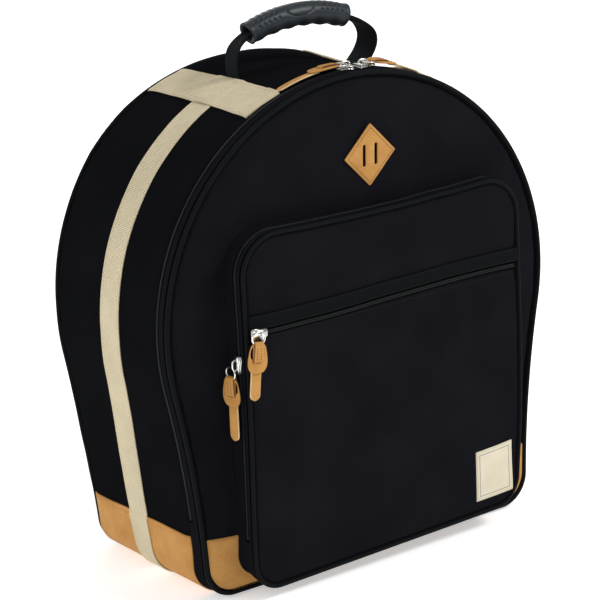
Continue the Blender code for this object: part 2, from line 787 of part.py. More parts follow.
def eye_points(turns, wall):
    """Points round the eye's bore, or round its outside."""
    length = EYE_HALF_LENGTH + wall
    height = EYE_HALF_HEIGHT + wall
    return [(EYE_MIDDLE + length * math.cos(turn), height * math.sin(turn)) for turn in turns]


def pull_side(sag_radius):
    """The pull seen from its side: an eye round the ring, a doubled head and a single tail."""
    def level(place):
        return -((place - EYE_PLACE) ** 2) / (2 * sag_radius) if sag_radius else 0.0

    head_end = EYE_PLACE + PULL_HEAD_LENGTH
    tail_end = head_end + PULL_TAIL_LENGTH + OVERRUN
    half = PULL_THICKNESS / 2
    under = PULL_TAIL_THICKNESS - half
    opening = math.asin(half / (EYE_HALF_HEIGHT + EYE_WALL))
    start = EYE_MIDDLE + (EYE_HALF_LENGTH + EYE_WALL) * math.cos(opening)
    head = steps_between(start, head_end, 3)
    tail = steps_between(head_end, tail_end, 3)
    top = [(place, level(place) + under) for place in reversed(tail)]
    top += [(place, level(place) + half) for place in reversed(head)]
    eye = eye_points(steps_between(opening, 2 * math.pi - opening, 8)[1:-1], EYE_WALL)
    bottom = [(place, level(place) - half) for place in head + tail[1:]]
    return top + eye + bottom, eye_points(steps_between(0.0, 2 * math.pi, 8)[:-1], 0.0)


def pull_mesh(name, sag_radius=0.0):
    """Leather folded through the ring: its side view, swept across, within its plan."""
    outline, bore = pull_side(sag_radius)
    side = flat_shape(outline, 2 * PULL_HEAD_WIDTH, [bore])
    turn = Matrix(((0, 0, 1, 0), (1, 0, 0, 0), (0, 1, 0, 0), (0, 0, 0, 1)))
    side.data.transform(turn)
    plan = flat_shape(pull_plan(), 4 * PULL_HEAD_WIDTH)
    return combined_mesh(name, side, [plan], "INTERSECT")


def axes_at(place, across, hang):
    """A frame with x across, y in the hanging direction and z outwards."""
    out = across.cross(hang)
    turned = Matrix((across, hang, out)).transposed().to_4x4()
    return Matrix.Translation(place) @ turned


def slider_places():
    """For each zip slider: its frame on the zip, whether it travels along or across its pull's
    direction, the lean of its pull at rest, and the radius that the pull sags to."""
    places = {}
    for label, angle, side in zip(("main_left", "main_right"), MAIN_SLIDER_ANGLES, (-1, 1)):
        point = crown_point(angle, 0.0)
        hang = Vector((side * math.cos(angle), 0.0, -side * math.sin(angle)))
        frame = axes_at(Vector((point.x, ZIP_Y, point.y)), Vector((0.0, -side, 0.0)), hang)
        places[label] = (frame, "along", CROWN_PULL_LEAN, PULL_SAG_RADIUS)
    down = Vector((0.0, 0.0, -1.0))
    place = Vector((-POCKET_WIDTH / 2, POCKET_ZIP_Y, POCKET_SLIDER_HEIGHT))
    places["pocket"] = (axes_at(place, Vector((0.0, 1.0, 0.0)), down), "along", 0.0, 0.0)
    slip_x = SLIP_SLIDER_SETBACK - POCKET_WIDTH / 2
    place = Vector((slip_x, POCKET_Y - COIL_THICKNESS - GAP, SLIP_ZIP_HEIGHT))
    frame = axes_at(place, Vector((-1.0, 0.0, 0.0)), down)
    places["slip_pocket"] = (frame, "across", FACE_PULL_LEAN, 0.0)
    return places


def pull_frame(frame, lean):
    """The frame of a ring and a pull: on the ring's wire in its bail, leaning as it hangs."""
    return frame @ Matrix.Translation((0.0, 0.0, RING_HEIGHT)) @ Matrix.Rotation(lean, 4, "X")


def build_sliders(finish):
    bodies = {
        "along": slider_mesh("slider_along", SLIDER_WIDTH, SLIDER_LENGTH, finish),
        "across": slider_mesh("slider_across", SLIDER_LENGTH, SLIDER_WIDTH, finish),
    }
    ring = ring_mesh()
    for label, (frame, travel, lean, sag_radius) in slider_places().items():
        slider = object_of(f"{label}_slider", bodies[travel].copy(), finish["metal"])
        slider.matrix_world = frame
        hung_ring = object_of(f"{label}_ring", ring.copy(), finish["metal"])
        hung_ring.matrix_world = pull_frame(frame, lean)
        pull = object_of(f"{label}_pull", pull_mesh("pull", sag_radius), finish["leather"])
        pull.matrix_world = pull_frame(frame, lean)


def grip_arc():
    """Middle line of the grip: an arc between its two ends."""
    half = GRIP_LENGTH / 2
    radius = (half * half + GRIP_ARCH * GRIP_ARCH) / (2 * GRIP_ARCH)
    reach = math.asin(half / radius)
    top = BAG_HEIGHT + GRIP_RISE
    centre = Vector((GRIP_OFFSET, top - radius))
    return [centre + radius * heading(angle) for angle in steps_between(-reach, reach, GRIP_STEPS)]


def bezier(points, count):
    """Points along a cubic curve."""
    a, b, c, d = points
    line = []
    for t in steps_between(0.0, 1.0, count):
        s = 1 - t
        line.append(s * s * s * a + 3 * s * s * t * b + 3 * s * t * t * c + t * t * t * d)
    return line


# Share of a leg's height by which its knee stands out: the right leg bulges, the left hangs straight
LEG_BULGE_SHARES = {-1: 0.08, 1: 0.45}


def leg_path(side):
    """A leg of the handle strap, from its foot beside the band up to the grip's end."""
    half = STRAP_THICKNESS / 2
    angle = BAND_INNER_ANGLE - (half + GAP) / CROWN_RADIUS
    foot = crown_point(side * angle, -GAP) + Vector((0.0, half * math.tan(angle)))
    shin = foot + Vector((0.0, STRAP_FOOT_RISE))
    arc = grip_arc()
    end = arc[-1] if side > 0 else arc[0]
    before = arc[-2] if side > 0 else arc[1]
    out = (end - before).normalized()
    rise = end.y - shin.y
    knee = shin + Vector((side * rise * LEG_BULGE_SHARES[side], rise / 2))
    return [foot] + bezier((shin, knee, end + out * rise / 2, end), STRAP_STEPS)


def strap_mesh(stations):
    """A strap as rectangles along a path: each station is a point, a width and a thickness."""
    bm = bmesh.new()
    rows = []
    for index, (point, width, thickness) in enumerate(stations):
        before = stations[max(index - 1, 0)][0]
        after = stations[min(index + 1, len(stations) - 1)][0]
        along = (after - before).normalized()
        normal = Vector((-along.y, along.x)) * thickness / 2
        row = []
        for side, face in ((-1, 1), (1, 1), (1, -1), (-1, -1)):
            place = point + normal * face
            row.append(bm.verts.new((place.x, side * width / 2, place.y)))
        rows.append(row)
    for near, far in zip(rows, rows[1:]):
        for index in range(4):
            after = (index + 1) % 4
            bm.faces.new((near[index], near[after], far[after], far[index]))
    bm.faces.new(rows[0])
    bm.faces.new(rows[-1])
    bmesh.ops.recalc_face_normals(bm, faces=bm.faces[:])
    return bm


def strap_stations():
    """The whole strap: left leg, folded run inside the grip, right leg."""
    left = leg_path(-1)
    right = leg_path(1)
    stations = [(point, FOLDED_WIDTH, FOLDED_THICKNESS) for point in left]
    stations[0] = (left[0], FOLDED_WIDTH, STRAP_THICKNESS)
    stations[1] = (left[1], FOLDED_WIDTH, STRAP_THICKNESS)
    stations += [(point, FOLDED_WIDTH, FOLDED_THICKNESS) for point in grip_arc()[1:]]
    for index, point in enumerate(reversed(right[:-1])):
        spread = min(1.0, 3 * (index + 1) / STRAP_STEPS)
        width = FOLDED_WIDTH + (STRAP_WIDTH - FOLDED_WIDTH) * spread
        thickness = FOLDED_THICKNESS + (STRAP_THICKNESS - FOLDED_THICKNESS) * spread
        stations.append((point, width, thickness))
    return stations


def build_handle(finish):
    mesh_object("handle_webbing", strap_mesh(strap_stations()), finish["tape"])
    arc = grip_arc()
    points = [(point.x, 0.0, point.y) for point in arc]
    grip = cord("handle_grip", points, GRIP_RADIUS, finish["rubber"], closed=False, sides=2)
    first = arc[0] + (arc[0] - arc[1]).normalized() * OVERRUN
    last = arc[-1] + (arc[-1] - arc[-2]).normalized() * OVERRUN
    width = FOLDED_WIDTH + 2 * STRAP_CLEARANCE
    thickness = FOLDED_THICKNESS + 2 * STRAP_CLEARANCE
    run = [(point, width, thickness) for point in [first] + arc + [last]]
    channel = mesh_object("grip_channel", strap_mesh(run), finish["rubber"], smooth=False)
    mesh = combined_mesh("handle_grip", grip, [channel], "DIFFERENCE")
    object_of("handle_grip", mesh, finish["rubber"])


def body_pivots():
    """Each moving body's pivot, and the body that carries it."""
    places = slider_places()
    pull_pivot = {}
    for label, (frame, _, lean, _) in places.items():
        pull_pivot[label] = pull_frame(frame, lean).translation
    foot = crown_point(BAND_INNER_ANGLE, 0.0)
    crown = Vector((0.0, ZIP_Y, CROWN_HEIGHT))
    return {
        "bag_body": (Vector((0.0, 0.0, 0.0)), None),
        "front_door": (Vector((0.0, FRONT_Y, BASE_LIFT + PIPING_INSET)), "bag_body"),
        "pocket_flap": (Vector((0.0, POCKET_Y, POCKET_BOTTOM + POCKET_PIPING_INSET)), "front_door"),
        "handle": (Vector((0.0, 0.0, foot.y)), "bag_body"),
        "slider_left": (crown, "bag_body"),
        "slider_right": (crown, "bag_body"),
        "slider_pocket": (places["pocket"][0].translation, "front_door"),
        "slider_slip_pocket": (places["slip_pocket"][0].translation, "pocket_flap"),
        "pull_left": (pull_pivot["main_left"], "slider_left"),
        "pull_right": (pull_pivot["main_right"], "slider_right"),
        "pull_pocket": (pull_pivot["pocket"], "slider_pocket"),
        "pull_slip_pocket": (pull_pivot["slip_pocket"], "slider_slip_pocket"),
    }


BODY_NODES = {
    "bag_body": (
        "body_gusset", "gusset_foam", "gusset_lining", "back_panel", "back_foam", "back_lining",
        "back_piping", "base_leather", "body_zip_half", "handle_band_left", "handle_band_right",
        "side_webbing_left", "side_webbing_right",
    ),
    "front_door": (
        "front_panel", "front_foam", "front_lining", "front_piping", "front_edge_strip",
        "door_zip_half", "door_hinge_strip", "front_leather", "lash_patch", "pocket_gusset",
        "pocket_zip_rear_half",
    ),
    "pocket_flap": (
        "pocket_lower_panel", "pocket_upper_panel", "pocket_zip_ribbon", "slip_pocket_zip",
        "slip_pocket_backing", "pocket_piping", "pocket_edge_strip", "pocket_zip_front_half",
        "pocket_hinge_strip", "woven_label",
    ),
    "handle": ("handle_webbing", "handle_grip"),
    "slider_left": ("main_left_slider",),
    "slider_right": ("main_right_slider",),
    "slider_pocket": ("pocket_slider",),
    "slider_slip_pocket": ("slip_pocket_slider",),
    "pull_left": ("main_left_ring", "main_left_pull"),
    "pull_right": ("main_right_ring", "main_right_pull"),
    "pull_pocket": ("pocket_ring", "pocket_pull"),
    "pull_slip_pocket": ("slip_pocket_ring", "slip_pocket_pull"),
}


def hang_on_pivots():
    """Parents every piece to an empty on its body's pivot, and each empty to the next body's."""
    pivots = body_pivots()
    empties = {}
    for name, (place, _) in pivots.items():
        empty = bpy.data.objects.new(f"{name}_pivot", None)
        empty.location = place
        PARTS.objects.link(empty)
        empties[name] = empty
    for name, (place, carrier) in pivots.items():
        if carrier:
            empties[name].parent = empties[carrier]
            empties[name].location = place - pivots[carrier][0]
        for node in BODY_NODES[name]:
            part = bpy.data.objects[node]
            part.parent = empties[name]
            part.matrix_parent_inverse = Matrix.Translation(-place)


def finishes():
    return {
        "nylon": make_material("black_nylon", NYLON_BLACK, 0.75),
        "tape": make_material("black_tape", TAPE_BLACK, 0.55),
        "foam": make_material("grey_foam", FOAM_GREY, 0.9),
        "lining": make_material("black_lining", LINING_BLACK, 0.7),
        "leather": make_material("tan_leather", LEATHER_TAN, 0.65),
        "webbing": make_material("beige_webbing", WEBBING_BEIGE, 0.85),
        "label": make_material("cream_label", LABEL_CREAM, 0.85),
        "metal": make_material("silver_metal", METAL_SILVER, 0.22, 1.0),
        "rubber": make_material("grey_rubber", RUBBER_GREY, 0.5),
    }


clear_scene()
PARTS = bpy.data.collections.new("snare_drum_bag")
bpy.context.scene.collection.children.link(PARTS)
FINISH = finishes()
build_side_wall(FINISH)
build_back(FINISH)
build_base_leather(FINISH)
build_body_zip(FINISH)
build_handle_bands(FINISH)
build_side_webbing(FINISH)
build_front(FINISH)
build_front_leather(FINISH)
build_lash_patch(FINISH)
build_pocket_wall(FINISH)
build_pocket_edge(FINISH)
build_pocket_front(FINISH)
build_label(FINISH)
build_sliders(FINISH)
build_handle(FINISH)
hang_on_pivots()
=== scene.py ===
"""A padded snare drum bag in black nylon, tan leather and beige webbing, dressed for a picture."""

import math

import bmesh
import bpy
import numpy as np
from mathutils import Matrix, Vector, noise
from mathutils.bvhtree import BVHTree


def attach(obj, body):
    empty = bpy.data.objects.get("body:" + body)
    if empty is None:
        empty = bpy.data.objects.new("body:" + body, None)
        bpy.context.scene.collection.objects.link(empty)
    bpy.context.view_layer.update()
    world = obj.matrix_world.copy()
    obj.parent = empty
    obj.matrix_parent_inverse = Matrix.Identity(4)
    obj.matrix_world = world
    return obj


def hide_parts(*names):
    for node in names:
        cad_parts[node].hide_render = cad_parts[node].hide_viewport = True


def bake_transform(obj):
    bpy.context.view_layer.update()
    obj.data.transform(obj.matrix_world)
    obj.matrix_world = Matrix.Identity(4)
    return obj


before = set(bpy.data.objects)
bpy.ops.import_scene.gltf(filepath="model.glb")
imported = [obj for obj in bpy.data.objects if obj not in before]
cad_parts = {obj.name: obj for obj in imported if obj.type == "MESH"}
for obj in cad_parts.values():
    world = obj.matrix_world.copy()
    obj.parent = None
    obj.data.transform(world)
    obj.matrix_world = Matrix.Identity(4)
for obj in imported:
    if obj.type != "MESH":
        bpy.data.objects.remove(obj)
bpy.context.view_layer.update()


# ---- Studio ----
# A long lens looks down at the bag from its front left, as a catalogue photographer stands. The bag
# is on a pale sweep of paper between large soft lights.
VIEW_AZIMUTH = math.radians(-34.768)
VIEW_HEIGHT = math.radians(17.140)
VIEW_ROLL = math.radians(3.028)
VIEW_DISTANCE = 2.5283
VIEW_TARGET = Vector((-0.0664, -0.089, 0.2563))
VIEW_LENS = 172.13


def place_camera():
    back = Vector((
        math.sin(VIEW_AZIMUTH) * math.cos(VIEW_HEIGHT),
        -math.cos(VIEW_AZIMUTH) * math.cos(VIEW_HEIGHT),
        math.sin(VIEW_HEIGHT),
    ))
    level = Vector((math.cos(VIEW_AZIMUTH), math.sin(VIEW_AZIMUTH), 0.0))
    upright = back.cross(level)
    cosine, sine = math.cos(VIEW_ROLL), math.sin(VIEW_ROLL)
    right = cosine * level - sine * upright
    up = sine * level + cosine * upright
    camera = bpy.data.objects.new("camera", bpy.data.cameras.new("camera"))
    camera.data.lens = VIEW_LENS
    camera.data.sensor_width = 36.0
    camera.data.clip_end = 20.0
    turn = Matrix((right, up, back)).transposed().to_4x4()
    camera.matrix_world = Matrix.Translation(VIEW_TARGET + VIEW_DISTANCE * back) @ turn
    bpy.context.scene.collection.objects.link(camera)
    bpy.context.scene.camera = camera


def soft_light(name, place, aim, size, power):
    lamp = bpy.data.lights.new(name, "AREA")
    lamp.shape = "DISK"
    lamp.size = size
    lamp.energy = power
    light = bpy.data.objects.new(name, lamp)
    light.location = place
    light.rotation_euler = (Vector(aim) - Vector(place)).to_track_quat("-Z", "Y").to_euler()
    bpy.context.scene.collection.objects.link(light)


def paper_sweep():
    bpy.ops.mesh.primitive_plane_add(size=12.0, location=(0.0, 0.0, -0.0004))
    floor = bpy.context.active_object
    floor.name = "paper_sweep"
    paper = bpy.data.materials.new("white_paper")
    paper.use_nodes = True
    shader = paper.node_tree.nodes["Principled BSDF"]
    shader.inputs["Base Color"].default_value = (0.96, 0.96, 0.96, 1.0)
    shader.inputs["Roughness"].default_value = 0.9
    shader.inputs["Specular IOR Level"].default_value = 0.1
    shader.inputs["Emission Color"].default_value = (1.0, 1.0, 1.0, 1.0)
    shader.inputs["Emission Strength"].default_value = 0.45
    floor.data.materials.append(paper)


place_camera()
paper_sweep()
soft_light("key_light", (1.9, -2.2, 2.7), (0.0, 0.0, 0.25), 1.1, 82.0)
soft_light("fill_light", (-1.9, -2.1, 1.6), (0.0, 0.0, 0.25), 1.6, 7.0)
soft_light("top_light", (0.1, 0.3, 2.7), (0.0, 0.0, 0.3), 1.4, 6.0)
soft_light("side_light", (-2.6, 0.7, 1.2), (0.0, 0.1, 0.25), 1.5, 24.0)
soft_light("back_light", (1.2, 2.6, 1.7), (0.0, 0.0, 0.25), 1.8, 18.0)
STUDIO_AIR = bpy.data.worlds.new("studio_air")
STUDIO_AIR.use_nodes = True
STUDIO_AIR.node_tree.nodes["Background"].inputs["Color"].default_value = (1.0, 1.0, 1.0, 1.0)
STUDIO_AIR.node_tree.nodes["Background"].inputs["Strength"].default_value = 0.42
bpy.context.scene.world = STUDIO_AIR
bpy.context.scene.view_settings.view_transform = "Standard"


# ---- Side wall ----
# One long strip of black nylon runs right round the bag between the main zip and the back piping.
# It is stitched over foam, so that it swells a little and tucks in at both of its seams.
BAG_HEIGHT = 0.450
CROWN_RADIUS = 0.209
CROWN_END = math.radians(102)
WAIST_END = math.radians(92)
CORNER_RADIUS = 0.030
BASE_LIFT = 0.0015
NYLON_THICKNESS = 0.0012
NYLON_EDGE = 0.0006
BACK_Y = 0.089
ZIP_Y = -0.0755
WALL_FRONT = -0.0718
WALL_BACK = 0.0852
WALL_SWELL = 0.0026
WALL_TUCK = 0.0016
FRONT_TUCK_REACH = 0.0022
BACK_TUCK_REACH = 0.0045
PUCKER_REACH = 0.018


def heading(angle):
    return Vector((math.sin(angle), math.cos(angle)))


CROWN_CENTRE = Vector((0.0, BAG_HEIGHT - CROWN_RADIUS))
WAIST_DROP = CROWN_CENTRE.y + CROWN_RADIUS * math.cos(CROWN_END) - BASE_LIFT
WAIST_RADIUS = (
    WAIST_DROP - CORNER_RADIUS * (1 + math.cos(WAIST_END))
) / (math.cos(WAIST_END) - math.cos(CROWN_END))
WAIST_CENTRE = CROWN_CENTRE + (CROWN_RADIUS + WAIST_RADIUS) * heading(CROWN_END)
CORNER_CENTRE = WAIST_CENTRE - (WAIST_RADIUS + CORNER_RADIUS) * heading(WAIST_END)
CROWN_RUN = CROWN_RADIUS * CROWN_END
WAIST_RUN = WAIST_RADIUS * (CROWN_END - WAIST_END)
CORNER_RUN = CORNER_RADIUS * (math.pi - WAIST_END)
HALF_GIRTH = CROWN_RUN + WAIST_RUN + CORNER_RUN + CORNER_CENTRE.x


def girth(run):
    """Point and outward direction on the bag's outline, at a run in metres from the crown's top."""
    if run > HALF_GIRTH:
        run -= 2 * HALF_GIRTH
    side = -1.0 if run < 0 else 1.0
    rest = abs(run)
    if rest < CROWN_RUN:
        out = heading(rest / CROWN_RADIUS)
        point = CROWN_CENTRE + CROWN_RADIUS * out
    elif rest < CROWN_RUN + WAIST_RUN:
        out = heading(CROWN_END - (rest - CROWN_RUN) / WAIST_RADIUS)
        point = WAIST_CENTRE - WAIST_RADIUS * out
    elif rest < CROWN_RUN + WAIST_RUN + CORNER_RUN:
        out = heading(WAIST_END + (rest - CROWN_RUN - WAIST_RUN) / CORNER_RADIUS)
        point = CORNER_CENTRE + CORNER_RADIUS * out
    else:
        out = Vector((0.0, -1.0))
        point = Vector((HALF_GIRTH - rest, BASE_LIFT))
    return Vector((side * point.x, point.y)), Vector((side * out.x, out.y))


def smooth_step(value):
    t = min(1.0, max(0.0, value))
    return t * t * (3 - 2 * t)


def wall_swell(run, y, height):
    """How far the padded wall stands out: full between its seams, none where the bag stands."""
    across = min(1.0, max(0.0, (y - WALL_FRONT) / (WALL_BACK - WALL_FRONT)))
    swell = WALL_SWELL * math.sin(math.pi * across) ** 0.45
    front_tuck = math.exp(-abs(y - WALL_FRONT) / FRONT_TUCK_REACH)
    back_tuck = math.exp(-abs(WALL_BACK - y) / BACK_TUCK_REACH)
    tuck = WALL_TUCK * (front_tuck + back_tuck)
    drift = noise.noise(Vector((run * 7.0, y * 9.0, 3.1))) * 0.0011
    drift += noise.noise(Vector((run * 5.0, y * 36.0, 6.3))) * 0.0008
    pucker = noise.noise(Vector((run * 75.0, y * 14.0, 8.7))) * 0.0008
    near_seam = math.exp(-(y - WALL_FRONT) / PUCKER_REACH)
    near_seam += math.exp(-(WALL_BACK - y) / PUCKER_REACH)
    stands = smooth_step((height - 0.008) / 0.055)
    return stands * (swell - tuck + drift * math.sin(math.pi * across) + pucker * near_seam)


# How far the slumped back and the strap's pull move the outline, in metres at degrees from the top.
SLUMP = [
    (-139, 0.0), (-131, 0.0036), (-122, 0.0050), (-108, 0.0038), (-90, 0.0020), (-66, 0.0030),
    (-50, 0.0040), (-36, 0.0020), (-20, -0.0028), (-8, -0.0058), (0, -0.0072), (12, -0.0067),
    (20, -0.0048), (29, -0.0042), (38, -0.0015), (48, 0.0), (90, 0.0020), (108, 0.0038),
    (122, 0.0050), (131, 0.0036), (139, 0.0),
]
SLUMP_ANGLES = [math.radians(angle) for angle, _ in SLUMP]
SLUMP_REACH = [reach for _, reach in SLUMP]
HANDLE_SAG = [
    (-16, 0.0), (-4, -0.0012), (6, -0.0042), (14, -0.0064), (24, -0.0066), (32, -0.0040), (46, 0.0),
]
SAG_ANGLES = [math.radians(angle) for angle, _ in HANDLE_SAG]
SAG_REACH = [reach for _, reach in HANDLE_SAG]


def slumped(place):
    """The bag stands a little slumped: towards its back the crown sinks and the sides bulge."""
    reach = Vector((place.x, place.z)) - CROWN_CENTRE
    if place.y <= ZIP_Y or reach.length < 0.001:
        return place
    back = min(1.0, (place.y - ZIP_Y) / (BACK_Y - ZIP_Y))
    angle = math.atan2(reach.x, reach.y)
    away = math.sin(math.pi / 2 * back) ** 1.35 * float(np.interp(angle, SLUMP_ANGLES, SLUMP_REACH))
    away += math.sin(math.pi * back) * float(np.interp(angle, SAG_ANGLES, SAG_REACH))
    away *= min(1.0, reach.length / CROWN_RADIUS)
    move = reach.normalized() * away
    return Vector((place.x + move.x, place.y, place.z + move.y))


def wall(run, y, lift=0.0):
    """A point on the side wall, or a lift above it."""
    point, out = girth(run)
    away = lift + wall_swell(run, y, point.y)
    return slumped(Vector((point.x + out.x * away, y, point.y + out.y * away)))


def spread(start, end, count):
    """Evenly spaced values, both ends included."""
    return [start + (end - start) * step / (count - 1) for step in range(count)]


def hem_section(start, end, low, high, steps, edge):
    """The cross-section of a band: flat faces with rounded edges, as (across, lift) points."""
    middle = (low + high) / 2
    half = (high - low) / 2
    nose = [(0.62, 0.78), (0.92, 0.4), (1.0, 0.0), (0.92, -0.4), (0.62, -0.78)]
    top = [(across, high) for across in spread(start + edge, end - edge, steps)]
    far = [(end - edge + edge * x, middle + half * z) for x, z in nose]
    near = [(start + edge - edge * x, middle - half * z) for x, z in nose]
    return top + far + [(across, low) for across, _ in reversed(top)] + near


def new_piece(name, bm, materials):
    mesh = bpy.data.meshes.new(name)
    bm.to_mesh(mesh)
    bm.free()
    mesh.shade_smooth()
    for material in materials:
        mesh.materials.append(material)
    piece = bpy.data.objects.new(name, mesh)
    bpy.context.scene.collection.objects.link(piece)
    return piece


def sweep(name, rings, closed, materials, cut_edge=None):
    """A skin over rings of points, capped where it ends, with its unrolled size as its UV map.

    The faces of a ring for which cut_edge is true, and the caps then, get the second material."""
    bm = bmesh.new()
    unrolled = bm.loops.layers.uv.new("cloth")
    count = len(rings[0])
    along = [0.0]
    for near, far in zip(rings, rings[1:] + rings[:1]):
        along.append(along[-1] + (far[0] - near[0]).length)
    around = [0.0]
    for near, far in zip(rings[0], rings[0][1:] + rings[0][:1]):
        around.append(around[-1] + (far - near).length)
    rows = [[bm.verts.new(point) for point in ring] for ring in rings]
    spans = len(rings) if closed else len(rings) - 1
    for index in range(spans):
        after = (index + 1) % len(rings)
        for step in range(count):
            turn = (step + 1) % count
            face = bm.faces.new(
                (rows[index][step], rows[index][turn], rows[after][turn], rows[after][step])
            )
            corners = ((index, step), (index, step + 1), (index + 1, step + 1), (index + 1, step))
            for loop, (u, v) in zip(face.loops, corners):
                loop[unrolled].uv = (along[u], around[v])
            if cut_edge and cut_edge(step):
                face.material_index = 1
    if not closed:
        for row in (rows[0], rows[-1]):
            cap = bm.faces.new(row)
            cap.material_index = 1 if cut_edge else 0
    bmesh.ops.recalc_face_normals(bm, faces=bm.faces[:])
    return new_piece(name, bm, materials)


class Value:
    """A number that varies over a surface: an output of a shader node, with arithmetic."""

    def __init__(self, finish, socket):
        self.finish = finish
        self.socket = socket

    def maths(self, operation, *values):
        return self.finish.node("ShaderNodeMath", {"operation": operation}, dict(enumerate(values)))

    def __add__(self, other):
        return self.maths("ADD", self, other)

    def __sub__(self, other):
        return self.maths("SUBTRACT", self, other)

    def __rsub__(self, other):
        return self.maths("SUBTRACT", other, self)

    def __mul__(self, other):
        return self.maths("MULTIPLY", self, other)

    def __lt__(self, other):
        return self.maths("LESS_THAN", self, other)

    def __abs__(self):
        return self.maths("ABSOLUTE", self)

    __radd__ = __add__
    __rmul__ = __mul__

    def sine(self):
        return self.maths("SINE", self)

    def least(self, other):
        return self.maths("MINIMUM", self, other)

    def most(self, other):
        return self.maths("MAXIMUM", self, other)

    def as_share(self):
        """Kept between 0 and 1."""
        return self.most(0.0).least(1.0)


class Finish:
    """A material in the making: its Principled shader, and one way to add any other node."""

    def __init__(self, name, roughness, **settings):
        self.material = bpy.data.materials.new(name)
        self.material.use_nodes = True
        self.tree = self.material.node_tree
        self.shader = self.tree.nodes["Principled BSDF"]
        self.shader.inputs["Roughness"].default_value = roughness
        for key, value in settings.items():
            self.shader.inputs[key.replace("_", " ")].default_value = value

    def node(self, kind, settings=None, sockets=None, output=0):
        made = self.tree.nodes.new(kind)
        for key, value in (settings or {}).items():
            setattr(made, key, value)
        for key, value in (sockets or {}).items():
            self.feed(made.inputs[key], value)
        return Value(self, made.outputs[output])

    def feed(self, socket, value):
        if isinstance(value, Value):
            self.tree.links.new(value.socket, socket)
        elif isinstance(value, tuple) and len(value) == 3 and socket.type == "RGBA":
            socket.default_value = (*value, 1.0)
        else:
            socket.default_value = value

    def surface(self, **sockets):
        for key, value in sockets.items():
            self.feed(self.shader.inputs[key.replace("_", " ")], value)
        return self.material

    def unrolled(self):
        """The piece's unrolled length and width, in metres, as two values."""
        place = self.node("ShaderNodeUVMap", {"uv_map": "cloth"})
        split = self.node("ShaderNodeSeparateXYZ", None, {0: place})
        return split, Value(self, split.socket.node.outputs[1])

    def place(self):
        return self.node("ShaderNodeTexCoord", output=3)

    def cloud(self, scale, detail, roughness=0.55):
        sockets = {"Vector": self.place(), "Scale": scale, "Detail": detail, "Roughness": roughness}
        return self.node("ShaderNodeTexNoise", None, sockets)

    def mix(self, share, first, second):
        settings = {"data_type": "RGBA"}
        return self.node("ShaderNodeMix", settings, {0: share, 6: first, 7: second}, output=2)

    def bump(self, height, distance, strength=1.0):
        sockets = {"Height": height, "Distance": distance, "Strength": strength}
        return self.node("ShaderNodeBump", None, sockets)


def woven_cloth(name, dark, light, thread, relief, roughness, specular):
    """Plain-woven cloth: threads cross over and under, and dust and wear lighten it in clouds."""
    cloth = Finish(name, roughness, Specular_IOR_Level=specular)
    length, width = cloth.unrolled()
    turn = math.pi / thread
    weave = (length * turn).sine() * (width * turn).sine()
    slub = cloth.cloud(900.0, 2.0)
    wear = cloth.cloud(16.0, 4.0)
    shade = (weave * 0.5 + 0.5) * 0.45 + wear * 0.75 + slub * 0.25 - 0.35
    return cloth.surface(
        Base_Color=cloth.mix(shade.as_share(), dark, light),
        Roughness=roughness + (wear - 0.5) * 0.12,
        Normal=cloth.bump(weave + slub * 0.6, relief),
    )


# A darker copy of the black nylon for the side wall: painted shade. The same cloth elsewhere
# (black_nylon below) is lighter, as a painted sheen of the key light.
SHADED_WALL_NYLON = woven_cloth(
    "wall_nylon", (0.0042, 0.0044, 0.0052), (0.0100, 0.0104, 0.0120),
    thread=0.00055, relief=0.00016, roughness=0.6, specular=0.0,
)

WALL_SECTION = hem_section(WALL_FRONT, WALL_BACK, -NYLON_THICKNESS, 0.0, 34, NYLON_EDGE)
wall_rings = [
    [wall(run, y, lift) for y, lift in WALL_SECTION]
    for run in spread(-HALF_GIRTH, HALF_GIRTH, 361)[:-1]
]
side_wall = sweep("side_wall", wall_rings, True, [SHADED_WALL_NYLON])
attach(side_wall, "bag_body")
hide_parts("body_gusset")


# ---- Side padding ----
# Ten millimetres of foam covered with thin lining stands behind the wall all the way round, and
# shows as a soft rounded rim when the door is open.
def outline_at(run, y, lift=0.0):
    """A point level with the bag's outline, without the wall's swell."""
    point, out = girth(run)
    return slumped(Vector((point.x + out.x * lift, y, point.y + out.y * lift)))


PADDING_BACK = 0.0768
PADDING_INSIDE = -0.0117
PADDING_OUTSIDE = -0.0016
PADDING_ROUNDING = 0.0045
LINING = woven_cloth(
    "black_lining", (0.006, 0.006, 0.0075), (0.013, 0.013, 0.016),
    thread=0.0004, relief=0.00006, roughness=0.5, specular=0.12,
)
PADDING_SECTION = hem_section(
    WALL_FRONT + 0.001, PADDING_BACK, PADDING_INSIDE, PADDING_OUTSIDE, 12, PADDING_ROUNDING
)
padding_rings = [
    [outline_at(run, y, lift) for y, lift in PADDING_SECTION]
    for run in spread(-HALF_GIRTH, HALF_GIRTH, 221)[:-1]
]
side_padding = sweep("side_padding", padding_rings, True, [LINING])
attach(side_padding, "bag_body")
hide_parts("gusset_foam", "gusset_lining")


# ---- Piping ----
# Cord covered with a bias strip of smooth black tape closes the seams round the front and the back.
# It stands just proud of the wall, with a thin groove on each side. The flange beside the cord is
# near-black tape, painted shade for these grooves.
def drop(item):
    bpy.data.objects.remove(item, do_unlink=True)


def joined(name, pieces):
    """Several meshes as one piece."""
    bm = bmesh.new()
    materials = []
    for piece in pieces:
        start = len(bm.faces)
        bm.from_mesh(piece.data)
        bm.faces.ensure_lookup_table()
        slots = []
        for material in piece.data.materials:
            if material not in materials:
                materials.append(material)
            slots.append(materials.index(material))
        for face in bm.faces[start:]:
            face.material_index = slots[face.material_index] if slots else 0
    for piece in pieces:
        drop(piece)
    return new_piece(name, bm, materials)


